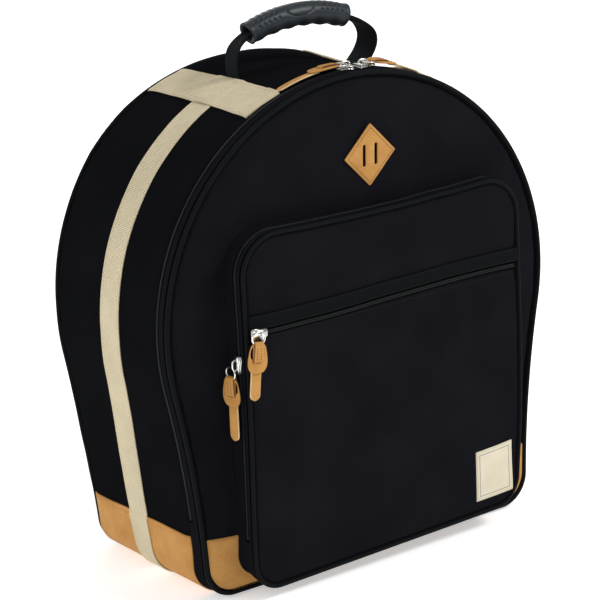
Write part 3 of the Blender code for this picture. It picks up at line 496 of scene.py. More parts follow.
def taped(name, rib, relief, roughness, tint):
    """Black tape whose threads run across it in fine ribs."""
    tape = Finish(name, roughness, Specular_IOR_Level=0.06)
    length, width = tape.unrolled()
    ribs = (length * (2 * math.pi / rib) + width * (0.9 * math.pi / rib)).sine()
    slub = tape.cloud(700.0, 2.0)
    shade = ribs * 0.25 + 0.25 + slub * 0.5
    dark = (0.0050 * tint, 0.0062 * tint, 0.0072 * tint)
    light = (0.0105 * tint, 0.0128 * tint, 0.0145 * tint)
    return tape.surface(
        Base_Color=tape.mix(shade.as_share(), dark, light),
        Roughness=roughness + slub * 0.15,
        Normal=tape.bump(ribs + slub, relief),
    )


TAPE = taped("black_tape", rib=0.0011, relief=0.00008, roughness=0.6, tint=0.5)
# Near-black tape, painted shade: the piping's flange in the grooves beside each cord, and the slip
# zip's tape in the gaps beside its coil.
PAINTED_SHADE_TAPE = taped("seam_tape", rib=0.0011, relief=0.00008, roughness=0.8, tint=0.12)
FRONT_Y = -0.089
PIPING_RADIUS = 0.0024


def lip_beside(radius):
    """The flange's fold, a thin line of painted shade beside the cord; the pocket's thin cord shows
    it more.
    """
    edge = -1.9 * radius
    rise = 0.0010 if radius == PIPING_RADIUS else 0.0015
    return [(-rise * 0.6, edge + 0.0006), (-rise, edge - 0.0002), (-rise * 0.9, edge - 0.0010)]


def piping(name, point_at, length, radius, count, seam=1.0):
    """Covered cord along a closed outline, with the flange that is sewn into the seam behind it.

    point_at gives a point for a run, a y offset and a lift, and seam the side of the flange."""
    turns = spread(0.0, 2 * math.pi, 15)[:-1]
    flange = [(0.0056, -0.0013), (0.0012, -0.0026)] + lip_beside(radius)
    flange += [
        (0.0010, -0.0066), (0.0010, -0.0100), (0.0019, -0.0100), (0.0021, -0.0034),
        (0.0056, -0.0021),
    ]
    cords = []
    flanges = []
    for run in spread(-length / 2, length / 2, count + 1)[:-1]:
        thick = radius * (1 + 0.02 * noise.noise(Vector((run * 60.0, radius, 1.0))))
        cords.append([
            point_at(run, thick * math.sin(turn), thick * math.cos(turn) - radius * 0.9)
            for turn in turns
        ])
        flanges.append([point_at(run, seam * y, lift) for y, lift in flange])
    cord = sweep(f"{name}_core", cords, True, [TAPE])
    # The flange is in near-black tape: painted shade in the grooves beside the cord.
    return joined(name, [cord, sweep(f"{name}_flange", flanges, True, [PAINTED_SHADE_TAPE])])


front_piping = piping(
    "front_piping_cord", lambda run, y, lift: outline_at(run, FRONT_Y + y, lift),
    2 * HALF_GIRTH, PIPING_RADIUS, 420,
)
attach(front_piping, "front_door")
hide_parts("front_piping")
back_piping = piping(
    "back_piping_cord", lambda run, y, lift: outline_at(run, BACK_Y + y, lift - 0.0003),
    2 * HALF_GIRTH, PIPING_RADIUS, 420, -1.0,
)
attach(back_piping, "bag_body")
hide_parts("back_piping")


# ---- Front edge strip and hinge strip ----
# A narrow nylon strip joins the front piping to the main zip. Below the zip's two ends the same
# strip runs on to the wall uncut, under the base, and is the cloth hinge that the door folds on.
def run_at(height):
    """The run down to a height on the waist."""
    angle = math.acos((WAIST_CENTRE.y - height) / WAIST_RADIUS)
    return CROWN_RUN + WAIST_RADIUS * (CROWN_END - angle)


ZIP_FOOT = 0.075
ZIP_RUN = run_at(ZIP_FOOT)
STRIP_START = 0.0036
STRIP_WIDTH = 0.0069
STRIP_THICKNESS = 0.0011
STRIP_EDGE = 0.0005
# Lighter than the side wall's copy of the same cloth: a painted sheen of the key light, which it
# carries on every piece that wears it.
NYLON = woven_cloth(
    "black_nylon", (0.0056, 0.0057, 0.0076), (0.0146, 0.0149, 0.0188),
    thread=0.00055, relief=0.00016, roughness=0.6, specular=0.0,
)


def strip_at(run, y, lift):
    """A point on the strip: it bows out a little between the piping and the zip."""
    middle = (y - FRONT_Y - STRIP_START) / STRIP_WIDTH
    bow = 0.0006 * math.sin(math.pi * min(1.0, max(0.0, middle)))
    ruffle = 0.00025 * noise.noise(Vector((run * 90.0, y * 60.0, 5.0)))
    return outline_at(run, y, lift + bow + ruffle)


strip_section = hem_section(
    FRONT_Y + STRIP_START, ZIP_Y - 0.0030, -STRIP_THICKNESS, 0.0, 7, STRIP_EDGE
)
strip_rings = [
    [strip_at(run, y, lift) for y, lift in strip_section] for run in spread(-ZIP_RUN, ZIP_RUN, 300)
]
edge_strip = sweep("edge_strip", strip_rings, False, [NYLON])
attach(edge_strip, "front_door")
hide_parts("front_edge_strip")

hinge_section = hem_section(
    FRONT_Y + STRIP_START, WALL_FRONT - 0.0002, -STRIP_THICKNESS, 0.0, 14, STRIP_EDGE
)
hinge_rings = [
    [outline_at(run, y, lift) for y, lift in hinge_section]
    for run in spread(ZIP_RUN + 0.0003, 2 * HALF_GIRTH - ZIP_RUN - 0.0003, 180)
]
hinge_strip = sweep("hinge_strip", hinge_rings, False, [NYLON])
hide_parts("door_hinge_strip")
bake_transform(hinge_strip)


# ---- Main zip ----
# A black coil zip runs from one side over the crown to the other. Each half is a woven tape with
# its own row of interlocking coil turns along the edge.
COIL_PITCH = 0.0018
COIL_TURN = (0.00090, 0.0015, 0.0015)
COIL_SINK = 0.0006
HALF_GAP = 0.0002
TAPE_GAP = 0.0012
TAPE_LOW = -0.0026
TAPE_HIGH = -0.0018


def repeat_tree():
    """Geometry nodes that set an item along a path at an even spacing, upright on the surface."""
    tree = bpy.data.node_groups.new("repeat_along_path", "GeometryNodeTree")
    sockets = (
        ("Path", "INPUT", "NodeSocketGeometry"),
        ("Item", "INPUT", "NodeSocketObject"),
        ("Spacing", "INPUT", "NodeSocketFloat"),
        ("Finish", "INPUT", "NodeSocketMaterial"),
        ("Row", "OUTPUT", "NodeSocketGeometry"),
    )
    for name, way, kind in sockets:
        tree.interface.new_socket(name, in_out=way, socket_type=kind)

    def add(kind, links=None, **settings):
        node = tree.nodes.new(kind)
        for key, value in settings.items():
            setattr(node, key, value)
        for key, source in (links or {}).items():
            tree.links.new(source, node.inputs[key])
        return node

    given = add("NodeGroupInput")
    curve = add("GeometryNodeMeshToCurve", {0: given.outputs["Path"]})
    stepped = add(
        "GeometryNodeResampleCurve",
        {"Curve": curve.outputs[0], "Length": given.outputs["Spacing"]},
        mode="LENGTH",
    )
    tangent = add("GeometryNodeInputTangent")
    out = add("GeometryNodeInputNamedAttribute", data_type="FLOAT_VECTOR")
    out.inputs["Name"].default_value = "out"
    ahead = add("FunctionNodeAlignRotationToVector", {"Vector": tangent.outputs[0]}, axis="X")
    upright = add(
        "FunctionNodeAlignRotationToVector",
        {"Rotation": ahead.outputs[0], "Vector": out.outputs["Attribute"]},
        axis="Z", pivot_axis="X",
    )
    item = add("GeometryNodeObjectInfo", {"Object": given.outputs["Item"]})
    placed = add(
        "GeometryNodeInstanceOnPoints",
        {
            "Points": stepped.outputs[0], "Instance": item.outputs["Geometry"],
            "Rotation": upright.outputs[0],
        },
    )
    real = add("GeometryNodeRealizeInstances", {0: placed.outputs[0]})
    dressed = add(
        "GeometryNodeSetMaterial",
        {"Geometry": real.outputs[0], "Material": given.outputs["Finish"]},
    )
    add("NodeGroupOutput", {0: dressed.outputs[0]})
    return tree


REPEAT_TREE = repeat_tree()


def repeat_along(name, points, outs, item, spacing, material, closed=False):
    """Copies of an item along a path, as one plain mesh."""
    count = len(points)
    links = [(index, index + 1) for index in range(count - 1)]
    if closed:
        links.append((count - 1, 0))
    mesh = bpy.data.meshes.new(name)
    mesh.from_pydata([tuple(point) for point in points], links, [])
    facing = mesh.attributes.new("out", "FLOAT_VECTOR", "POINT")
    facing.data.foreach_set("vector", [number for out in outs for number in out])
    path = bpy.data.objects.new(name, mesh)
    bpy.context.scene.collection.objects.link(path)
    rows = path.modifiers.new("rows", "NODES")
    rows.node_group = REPEAT_TREE
    chosen = {"Item": item, "Spacing": spacing, "Finish": material}
    for socket in REPEAT_TREE.interface.items_tree:
        if socket.name in chosen:
            rows[socket.identifier] = chosen[socket.name]
    bpy.context.view_layer.update()
    graph = bpy.context.evaluated_depsgraph_get()
    result = bpy.data.meshes.new_from_object(path.evaluated_get(graph))
    drop(path)
    result.name = name
    result.materials.clear()
    result.materials.append(material)
    result.shade_smooth()
    piece = bpy.data.objects.new(name, result)
    bpy.context.scene.collection.objects.link(piece)
    return piece


def rounded_bar(name, length, width, height, sides=8):
    """A small bar with round ends, along X, used for coil turns and stitches."""
    bm = bmesh.new()
    bmesh.ops.create_uvsphere(bm, u_segments=sides, v_segments=4, radius=0.5)
    along_x = Matrix.Rotation(math.pi / 2, 3, "Y")
    bmesh.ops.rotate(bm, verts=bm.verts[:], cent=(0, 0, 0), matrix=along_x)
    for vert in bm.verts:
        vert.co.x = math.copysign(abs(vert.co.x * 2) ** 0.6 / 2, vert.co.x)
    bmesh.ops.scale(bm, verts=bm.verts[:], vec=(length, width, height))
    item = new_piece(name, bm, [])
    item.hide_render = True
    return item


COIL = Finish("zip_coil", 0.4, Specular_IOR_Level=0.45).surface(Base_Color=(0.017, 0.019, 0.021))


def outwards(edge, run):
    """The outward direction in space at a run on an outline."""
    out = edge(run)[1]
    return (out.x, 0.0, out.y)


def zip_half(name, side, middle, tape_edge, half_length, edge, point_at, counts):
    """One half of a zip round an outline: side is -1 for the front half and 1 for the rear one.

    counts are the steps along its tape and along its coil."""
    inner = middle + side * HALF_GAP
    low, high = sorted((inner + side * TAPE_GAP, tape_edge))
    tape_section = hem_section(low, high, TAPE_LOW, TAPE_HIGH, 4, 0.0002)
    tape_rings = [
        [point_at(run, y, lift) for y, lift in tape_section]
        for run in spread(-half_length, half_length, counts[0])
    ]
    tape = sweep(f"{name}_tape", tape_rings, False, [TAPE])
    turn = rounded_bar("coil_turn", *COIL_TURN)
    shift = COIL_PITCH * 0.2 if side > 0 else 0.0
    runs = spread(-half_length + 0.002 + shift, half_length - 0.002 + shift, counts[1])
    points = [point_at(run, inner + side * 0.0005, -COIL_SINK) for run in runs]
    outs = [outwards(edge, run) for run in runs]
    coil = repeat_along(f"{name}_coil", points, outs, turn, COIL_PITCH, COIL)
    drop(turn)
    return joined(name, [tape, coil])


def main_zip_half(name, side, tape_edge):
    return zip_half(name, side, ZIP_Y, tape_edge, ZIP_RUN, girth, outline_at, (260, 420))


body_zip = main_zip_half("body_zip", 1, WALL_FRONT + 0.0014)
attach(body_zip, "bag_body")
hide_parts("body_zip_half")
door_zip = main_zip_half("door_zip", -1, ZIP_Y - 0.0048)
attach(door_zip, "front_door")
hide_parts("door_zip_half")


# ---- Leather base ----
# A broad band of tan suede-like leather wraps the base and the foot of both sides. Its top edge is
# turned and stitched down with tan thread.
def tanned(name, dark, light, roughness=0.78):
    """Brushed leather: cloudy tan, a short nap and fine creases."""
    leather = Finish(name, roughness, Specular_IOR_Level=0.2)
    clouds = leather.cloud(38.0, 5.0, 0.6)
    nap = leather.cloud(620.0, 4.0, 0.7)
    pores = leather.node(
        "ShaderNodeTexVoronoi", {"feature": "F1"}, {"Vector": leather.place(), "Scale": 900.0}
    )
    shade = clouds * 1.0 + nap * 0.75 - 0.38
    height = nap * 0.8 + pores * 0.35
    return leather.surface(
        Base_Color=leather.mix(shade.as_share(), dark, light),
        Roughness=roughness + (nap - 0.5) * 0.2,
        Normal=leather.bump(height, 0.00035, 0.8),
    )


LEATHER = tanned("tan_leather", (0.32, 0.135, 0.027), (0.62, 0.335, 0.103))
TAN_THREAD = Finish("tan_thread", 0.7).surface(Base_Color=(0.50, 0.25, 0.075))

LEATHER_TOP = 0.060
LEATHER_RUN = run_at(LEATHER_TOP)
LEATHER_HEM_RISE = 0.0030
LEATHER_SECTION = hem_section(WALL_FRONT, WALL_BACK, 0.0002, 0.0015, 40, 0.0007)


def leather_at(run, y, lift):
    """The band on the side wall: its top rises in the middle, and it is flat at the foot."""
    across = min(1.0, max(0.0, (y - WALL_FRONT) / (WALL_BACK - WALL_FRONT)))
    below = min(abs(run), abs(2 * HALF_GIRTH - run)) - LEATHER_RUN
    rise = math.copysign(LEATHER_HEM_RISE, run - HALF_GIRTH) * math.sin(math.pi * across)
    run += rise * math.exp(-max(0.0, below) / 0.02)
    point, _ = girth(run)
    waver = 0.00025 * noise.noise(Vector((run * 30.0, y * 30.0, 2.0)))
    return wall(run, y, lift + waver * smooth_step((point.y - 0.02) / 0.03))


leather_rings = [
    [leather_at(run, y, lift) for y, lift in LEATHER_SECTION]
    for run in spread(LEATHER_RUN, 2 * HALF_GIRTH - LEATHER_RUN, 180)
]
leather_base = sweep("leather_base", leather_rings, False, [LEATHER])


def stitch_line(name, points, outs, spacing=0.0034, thread=0.0007, material=None, closed=False):
    """A row of stitches, each a short length of thread sunk a little at its ends."""
    stitch = rounded_bar("stitch", spacing * 0.74, thread, thread * 0.8, 6)
    row = repeat_along(name, points, outs, stitch, spacing, material or TAN_THREAD, closed)
    drop(stitch)
    return row


def wall_stitches(name, pairs, lift_at, **stitch):
    """Stitches on the side wall through (run, y) pairs, at the lift that lift_at gives there."""
    points = [wall(run, y, lift_at(run, y)) for run, y in pairs]
    outs = [outwards(girth, run) for run, _ in pairs]
    return stitch_line(name, points, outs, **stitch)


hem_rows = []
for side in (-1, 1):
    run = side * (LEATHER_RUN + 0.0026)
    pairs = [(run, y) for y in spread(WALL_FRONT + 0.003, WALL_BACK - 0.003, 60)]
    hem_rows.append(wall_stitches(f"leather_stitches_{side}", pairs, lambda run, y: 0.0017))
leather_base = joined("leather_base", [leather_base] + hem_rows)
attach(leather_base, "bag_body")
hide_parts("base_leather")


# ---- Beige webbing ----
# Ribbed cotton webbing: two wide bands lie across the crown under the handle's ends, and a
# narrower one runs from each of them down the side and under the leather's foot.
def ribbed_webbing():
    """Webbing: fine ribs across its length, in lengthwise ridges, a little soiled in clouds."""
    webbing = Finish("beige_webbing", 0.82, Specular_IOR_Level=0.2)
    length, width = webbing.unrolled()
    ribs = (length * (2 * math.pi / 0.0015)).sine()
    ridges = (width * (2 * math.pi / 0.0024)).sine()
    fibre = webbing.cloud(800.0, 3.0)
    soil = webbing.cloud(30.0, 4.0)
    shade = ribs * 0.30 + ridges * 0.10 + fibre * 0.35 + soil * 0.55
    return webbing.surface(
        Base_Color=webbing.mix(shade.as_share(), (0.44, 0.37, 0.235), (0.84, 0.74, 0.53)),
        Normal=webbing.bump(ribs * 0.8 + ridges * 0.4 + fibre * 0.5, 0.00025),
    )


WEBBING = ribbed_webbing()
WEBBING_THREAD = Finish("webbing_thread", 0.7).surface(Base_Color=(0.74, 0.64, 0.44))
WEBBING_STITCH = {"spacing": 0.0032, "thread": 0.0006, "material": WEBBING_THREAD}
WEBBING_LOW = 0.0003
WEBBING_TOP = 0.0017
WEBBING_EDGE = 0.0008
STITCH_LIFT = 0.0019
BAND_START = {-1: math.radians(17.9) * CROWN_RADIUS, 1: math.radians(20.2) * CROWN_RADIUS}
BAND_END = {-1: math.radians(28.9) * CROWN_RADIUS, 1: math.radians(30.1) * CROWN_RADIUS}
BAND_FRONT = -0.0712
BAND_BACK = 0.0850
BAND_SEAM = 0.0028
BOX_INSET = 0.005
BOX_HALF = 0.017


def band_lift(y):
    """The band is doubled over at its front end, and rides over the handle strap's tail."""
    hem = smooth_step((BAND_FRONT + 0.016 - y) / 0.002) * 0.0011
    tail = smooth_step((0.024 - abs(y)) / 0.006) * 0.0013
    return hem + tail


def between(near, far, share):
    """The point at a share of the way between two points of a plane."""
    return near[0] + (far[0] - near[0]) * share, near[1] + (far[1] - near[1]) * share


def crown_band(name, side):
    """One band over the crown, with a seam along both edges and a crossed box of stitches."""
    start, end = BAND_START[side], BAND_END[side]
    rings = []
    for y in spread(BAND_FRONT, BAND_BACK, 90):
        lift = band_lift(y)
        waver = [0.0007 * noise.noise(Vector((y * 45.0, side * 2.0, edge))) for edge in (1.0, 7.0)]
        section = hem_section(
            start + waver[0], end + waver[1], WEBBING_LOW, WEBBING_TOP + lift, 12, WEBBING_EDGE
        )
        rings.append([wall(side * run, y, height) for run, height in section])
    low, high = start + BOX_INSET, end - BOX_INSET
    a, b, c, d = (low, -BOX_HALF), (high, -BOX_HALF), (high, BOX_HALF), (low, BOX_HALF)
    lines = [
        [(run, y) for y in spread(BAND_FRONT + 0.003, BAND_BACK, 80)]
        for run in (start + BAND_SEAM, end - BAND_SEAM)
    ]
    for near, far in ((a, b), (b, c), (c, d), (d, a), (a, c), (b, d)):
        lines.append([between(near, far, share) for share in spread(0, 1, 12)])
    rows = [sweep(name, rings, False, [WEBBING])]
    for line in lines:
        pairs = [(side * run, y) for run, y in line]
        rows.append(wall_stitches(
            f"{name}_seam", pairs, lambda run, y: STITCH_LIFT + band_lift(y), **WEBBING_STITCH
        ))
    return joined(name, rows)


SIDE_WIDTH = 0.0284
SIDE_MIDDLE = -0.0065
SIDE_FOOT = 0.0055
SIDE_SEAM = 0.0024


def side_middle(run):
    """The side webbing runs straight down, then leans back a little towards its foot."""
    return SIDE_MIDDLE + (SIDE_FOOT - SIDE_MIDDLE) * smooth_step((run - 0.30) / 0.20)


def side_lift(run):
    """The side webbing steps out over the top edge of the leather."""
    return 0.0014 * smooth_step((run - LEATHER_RUN + 0.004) / 0.005)


def side_band(name, side):
    """The narrow webbing down one side, with a seam along both edges."""
    rings = []
    end = HALF_GIRTH - CORNER_CENTRE.x - CORNER_RUN / 4
    for run in spread(BAND_END[side] + 0.0005, end, 150):
        middle = side_middle(run) + 0.0004 * noise.noise(Vector((run * 30.0, side, 2.0)))
        low, high = middle - SIDE_WIDTH / 2, middle + SIDE_WIDTH / 2
        section = hem_section(low, high, WEBBING_LOW, WEBBING_TOP, 10, WEBBING_EDGE)
        rings.append([wall(side * run, y, height + side_lift(run)) for y, height in section])
    rows = [sweep(name, rings, False, [WEBBING])]
    for offset in (SIDE_SEAM - SIDE_WIDTH / 2, SIDE_WIDTH / 2 - SIDE_SEAM):
        runs = spread(BAND_END[side] + 0.002, end - 0.002, 140)
        pairs = [(side * run, side_middle(run) + offset) for run in runs]
        rows.append(wall_stitches(
            f"{name}_seam", pairs, lambda run, y: STITCH_LIFT + side_lift(abs(run)),
            **WEBBING_STITCH,
        ))
    return joined(name, rows)


for side, label in ((-1, "left"), (1, "right")):
    strap = crown_band(f"crown_band_{label}", side)
    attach(strap, "bag_body")
    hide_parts(f"handle_band_{label}")
    strap = side_band(f"side_band_{label}", side)
    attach(strap, "bag_body")
    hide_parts(f"side_webbing_{label}")


# ---- Front of the door ----
# The round front is nylon over foam, domed by its stuffing. It is blown up gently from a flatter
# panel, held at its seam all round, so that it swells as sewn padding does.
PANEL_INSET = 0.0038
DOME_RISE = 0.0205
DOME_POWER = 3
FOAM_DEPTH = 0.0100
HELD_SHARE = 0.965
HELD_DEPTH = 0.6
LINING_NEAR = 0.0008
LINING_FAR = 0.0016
SIMULATED_FRAMES = 20


def rim_table():
    """Directions from the bag's middle, and the distance to the front's rim in each of them."""
    places = []
    for run in spread(0.0, HALF_GIRTH, 600):
        point, out = girth(run)
        reach = point - out * PANEL_INSET - CROWN_CENTRE
        places.append((math.atan2(abs(reach.x), reach.y), reach.length))
    return np.array(places).T


RIM_ANGLES, RIM_REACHES = rim_table()


def dome_share(x, z):
    """How far out a point is between the bag's middle (0) and a panel's rim (1)."""
    reach = Vector((x, z)) - CROWN_CENTRE
    if reach.length < 1e-9:
        return 0.0
    angle = math.atan2(abs(reach.x), reach.y)
    return min(1.0, reach.length / float(np.interp(angle, RIM_ANGLES, RIM_REACHES)))


def disc_panel(name, rim, centre, outer_y, inner_y, materials, rows=26):
    """A closed panel over a rim of (x, z) points, between an outer and an inner face."""
    bm = bmesh.new()
    faces = []
    for depth in (outer_y, inner_y):
        grid = []
        for row in range(rows):
            share = 1 - row / rows
            ring = [centre.lerp(point, share) for point in rim]
            places = [(point.x, depth(point.x, point.y), point.y) for point in ring]
            grid.append([bm.verts.new(place) for place in places])
        middle = bm.verts.new((centre.x, depth(centre.x, centre.y), centre.y))
        count = len(rim)
        for outer, inner in zip(grid, grid[1:]):
            for step in range(count):
                after = (step + 1) % count
                bm.faces.new((outer[step], outer[after], inner[after], inner[step]))
        for step in range(count):
            bm.faces.new((grid[-1][step], grid[-1][(step + 1) % count], middle))
        faces.append(grid[0])
    near, far = faces
    for step in range(len(near)):
        after = (step + 1) % len(near)
        bm.faces.new((near[step], near[after], far[after], far[step]))
    bmesh.ops.recalc_face_normals(bm, faces=bm.faces[:])
    return new_piece(name, bm, materials)


def settled(piece, name):
    """The piece with its modifiers applied, under a new name."""
    bpy.context.view_layer.update()
    graph = bpy.context.evaluated_depsgraph_get()
    mesh = bpy.data.meshes.new_from_object(piece.evaluated_get(graph))
    drop(piece)
    mesh.name = name
    mesh.shade_smooth()
    fresh = bpy.data.objects.new(name, mesh)
    bpy.context.scene.collection.objects.link(fresh)
    return fresh


def inflated(piece, held, pressure, cap, voxel=0.005):
    """Blows a sewn panel up against its held seam, as its stuffing does, and stops at a cap."""
    name = piece.name
    cloth_finish = piece.data.materials[0]
    remesh = piece.modifiers.new("even_mesh", "REMESH")
    remesh.mode = "VOXEL"
    remesh.voxel_size = voxel
    remesh.use_smooth_shade = True
    piece = settled(piece, name)
    start = np.empty(len(piece.data.vertices) * 3)
    piece.data.vertices.foreach_get("co", start)
    start = start.reshape(-1, 3)
    pins = piece.vertex_groups.new(name="held")
    for index, place in enumerate(start):
        pins.add([index], held(*place), "REPLACE")
    cloth = piece.modifiers.new("stuffing", "CLOTH")
    cloth.settings.quality = 6
    cloth.settings.mass = 0.2
    cloth.settings.tension_stiffness = 18.0
    cloth.settings.compression_stiffness = 18.0
    cloth.settings.shear_stiffness = 8.0
    cloth.settings.bending_stiffness = 0.6
    cloth.settings.use_pressure = True
    cloth.settings.uniform_pressure_force = pressure
    cloth.settings.vertex_group_mass = "held"
    cloth.settings.effector_weights.gravity = 0.0
    cloth.collision_settings.use_collision = False
    cloth.point_cache.frame_end = SIMULATED_FRAMES
    for step in range(1, SIMULATED_FRAMES + 1):
        bpy.context.scene.frame_set(step)
    graph = bpy.context.evaluated_depsgraph_get()
    swollen = piece.evaluated_get(graph).to_mesh()
    end = np.empty(len(swollen.vertices) * 3)
    swollen.vertices.foreach_get("co", end)
    move = end.reshape(-1, 3) - start
    length = np.linalg.norm(move, axis=1, keepdims=True)
    move *= cap * np.tanh(length / cap) / np.maximum(length, 1e-9)
    piece.modifiers.clear()
    piece.data.vertices.foreach_set("co", (start + move).ravel())
    piece.data.update()
    bpy.context.scene.frame_set(1)
    smooth = piece.modifiers.new("soften", "SMOOTH")
    smooth.factor = 0.5
    smooth.iterations = 3
    finer = piece.modifiers.new("finer", "SUBSURF")
    finer.levels = finer.render_levels = 1
    piece = settled(piece, name)
    unroll_flat(piece)
    piece.data.materials.clear()
    piece.data.materials.append(cloth_finish)
    return piece


def unroll_flat(piece):
    """The cloth's own x and z as its UV map, for a panel that faces forwards or backwards."""
    layer = piece.data.uv_layers.new(name="cloth")
    places = np.empty(len(piece.data.vertices) * 3)
    piece.data.vertices.foreach_get("co", places)
    corners = np.empty(len(piece.data.loops), dtype=np.int32)
    piece.data.loops.foreach_get("vertex_index", corners)
    layer.uv.foreach_set("vector", places.reshape(-1, 3)[corners][:, (0, 2)].ravel())


def creased(piece, reach_at, depth, facing=-1.0):
    """Presses soft folds into a panel: puckers at its seam, and long shallow creases across it."""
    for vert in piece.data.vertices:
        x, y, z = vert.co
        near = reach_at(x, z)
        if near <= 0.0:
            continue
        pucker = math.exp(-near / 0.012) * noise.noise(Vector((x * 78.0, z * 78.0, 2.0)))
        long_fold = noise.noise(Vector(((x + z) * 7.0, (x - z) * 26.0, 5.0)))
        soft = noise.noise(Vector((x * 11.0, z * 11.0, 9.0)))
        held = smooth_step(near / 0.006)
        vert.co.y = y + facing * held * depth * (pucker * 0.8 + long_fold * 0.55 + soft * 0.8)
    piece.data.update()


def seam_reach(x, z):
    """Distance from a point on the front or back to its seam."""
    return (1.0 - dome_share(x, z)) * 0.2


def outline_rim(inset):
    """The bag's outline drawn in by an inset, as closed (x, z) points."""
    rim = []
    for run in spread(-HALF_GIRTH, HALF_GIRTH, 241)[:-1]:
        point, out = girth(run)
        rim.append(point - out * inset)
    return rim


def front_face(x, z):
    return FRONT_Y - DOME_RISE * (1 - dome_share(x, z) ** DOME_POWER)


def front_held(x, y, z):
    """The seam and the inner side of the foam stay put while the outer cloth swells."""
    inner = y > front_face(x, z) + FOAM_DEPTH * HELD_DEPTH
    return 1.0 if dome_share(x, z) > HELD_SHARE or inner else 0.0


front_panel = disc_panel(
    "front_padding", outline_rim(PANEL_INSET), CROWN_CENTRE.copy(),
    front_face, lambda x, z: front_face(x, z) + FOAM_DEPTH, [NYLON],
)
front_panel = inflated(front_panel, front_held, pressure=4.0, cap=0.0042)
creased(front_panel, seam_reach, 0.0011)
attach(front_panel, "front_door")
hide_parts("front_panel", "front_foam")

front_lining = disc_panel(
    "front_lining_cloth", outline_rim(PANEL_INSET + 0.001), CROWN_CENTRE.copy(),
    lambda x, z: front_face(x, z) + FOAM_DEPTH + LINING_NEAR,
    lambda x, z: front_face(x, z) + FOAM_DEPTH + LINING_FAR, [LINING], rows=16,
)
unroll_flat(front_lining)
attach(front_lining, "front_door")
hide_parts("front_lining")


# ---- Back ----
# The back is the same padded nylon, nearly flat, with its own lining inside. It is sewn to the
# side wall through the back piping, and slumps a little with it.
BACK_RISE = 0.0075


def back_face(x, z):
    return BACK_Y + BACK_RISE * (1 - dome_share(x, z) ** DOME_POWER)


def back_held(x, y, z):
    inner = y < back_face(x, z) - FOAM_DEPTH * HELD_DEPTH
    return 1.0 if dome_share(x, z) > HELD_SHARE or inner else 0.0


back_panel = disc_panel(
    "back_padding", outline_rim(PANEL_INSET), CROWN_CENTRE.copy(),
    back_face, lambda x, z: back_face(x, z) - FOAM_DEPTH, [NYLON],
)
back_panel = inflated(back_panel, back_held, pressure=4.0, cap=0.0035)
creased(back_panel, seam_reach, 0.0012, facing=1.0)
for vert in back_panel.data.vertices:
    vert.co = slumped(vert.co)
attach(back_panel, "bag_body")
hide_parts("back_panel", "back_foam")

back_lining = disc_panel(
    "back_lining_cloth", outline_rim(PANEL_INSET + 0.001), CROWN_CENTRE.copy(),
    lambda x, z: back_face(x, z) - FOAM_DEPTH - LINING_NEAR,
    lambda x, z: back_face(x, z) - FOAM_DEPTH - LINING_FAR, [LINING], rows=16,
)
unroll_flat(back_lining)
for vert in back_lining.data.vertices:
    vert.co = slumped(vert.co)
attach(back_lining, "bag_body")
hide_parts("back_lining")


# ---- Leather foot of the door ----
# The same leather crosses the foot of the front, from piping to piping and on behind the pocket.
# It follows the front's dome, and its top edge is stitched down with tan thread.
def skin_of(piece):
    bm = bmesh.new()
    bm.from_mesh(piece.data)
    tree = BVHTree.FromBMesh(bm)
    bm.free()
    return tree


def face_under(tree, x, z, fallback):
    """Where a panel's front face is, straight behind a point."""
    hit = tree.ray_cast(Vector((x, -0.3, z)), Vector((0.0, 1.0, 0.0)))[0]
    return hit.y if hit else fallback


FRONT_SKIN = skin_of(front_panel)


def panel_half_width(height, inset):
    """Half of the front's width at a height near its foot."""
    if height > CORNER_CENTRE.y:
        point, out = girth(run_at(height))
        return point.x - out.x * inset
    radius = CORNER_RADIUS - inset
    return CORNER_CENTRE.x + math.sqrt(max(0.0, radius ** 2 - (CORNER_CENTRE.y - height) ** 2))


FORWARDS = (0.0, -1.0, 0.0)


def front_stitches(name, points, **stitch):
    """A row of stitches on a surface that faces forwards."""
    return stitch_line(name, points, [FORWARDS] * len(points), **stitch)


foot_heights = [LEATHER_TOP, LEATHER_TOP - 0.0008]
foot_heights += spread(LEATHER_TOP - 0.003, BASE_LIFT + PANEL_INSET, 22)
foot_rings = []
for height in foot_heights:
    half = panel_half_width(height, PANEL_INSET + 0.0010)
    columns = spread(-half, half, 121)
    front = []
    back = []
    for x in columns:
        y = face_under(FRONT_SKIN, x, height, FRONT_Y + 0.0006)
        y = min(y, FRONT_Y + 0.0006)
        turned = 0.0004 if height == LEATHER_TOP else 0.0013
        front.append(Vector((x, y - 0.0002 - turned, height)))
        back.append(Vector((x, y - 0.0001, height)))
    foot_rings.append(front + back[::-1])
foot_leather = sweep("foot_leather", foot_rings, False, [LEATHER])
half = panel_half_width(LEATHER_TOP, 0.0075)
seam_height = LEATHER_TOP - 0.0026
points = [
    Vector((x, face_under(FRONT_SKIN, x, seam_height, FRONT_Y) - 0.0017, seam_height))
    for x in spread(-half, half, 80)
]
foot_seam = front_stitches("foot_stitches", points)
foot_leather = joined("foot_leather", [foot_leather, foot_seam])
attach(foot_leather, "front_door")
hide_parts("front_leather")


# ---- Lash patch ----
# A diamond of thick leather with two slots for a strap, stitched to the front above the pocket.
# It is cut flat, so it leans with the dome, and it was sewn on a little askew.
PATCH_X = 0.005
PATCH_HEIGHT = 0.378
PATCH_HALF = 0.0278
PATCH_THICKNESS = 0.0018
PATCH_SEAM_SHARE = 0.87
PATCH_SLOT_MIDDLE = 0.0064
PATCH_SLOT_LENGTH = 0.0190
PATCH_SLOT_WIDTH = 0.0032
PATCH_SKEW = 0.10
CUT_EDGE = tanned("cut_leather_edge", (0.56, 0.34, 0.15), (0.88, 0.70, 0.44), 0.85)


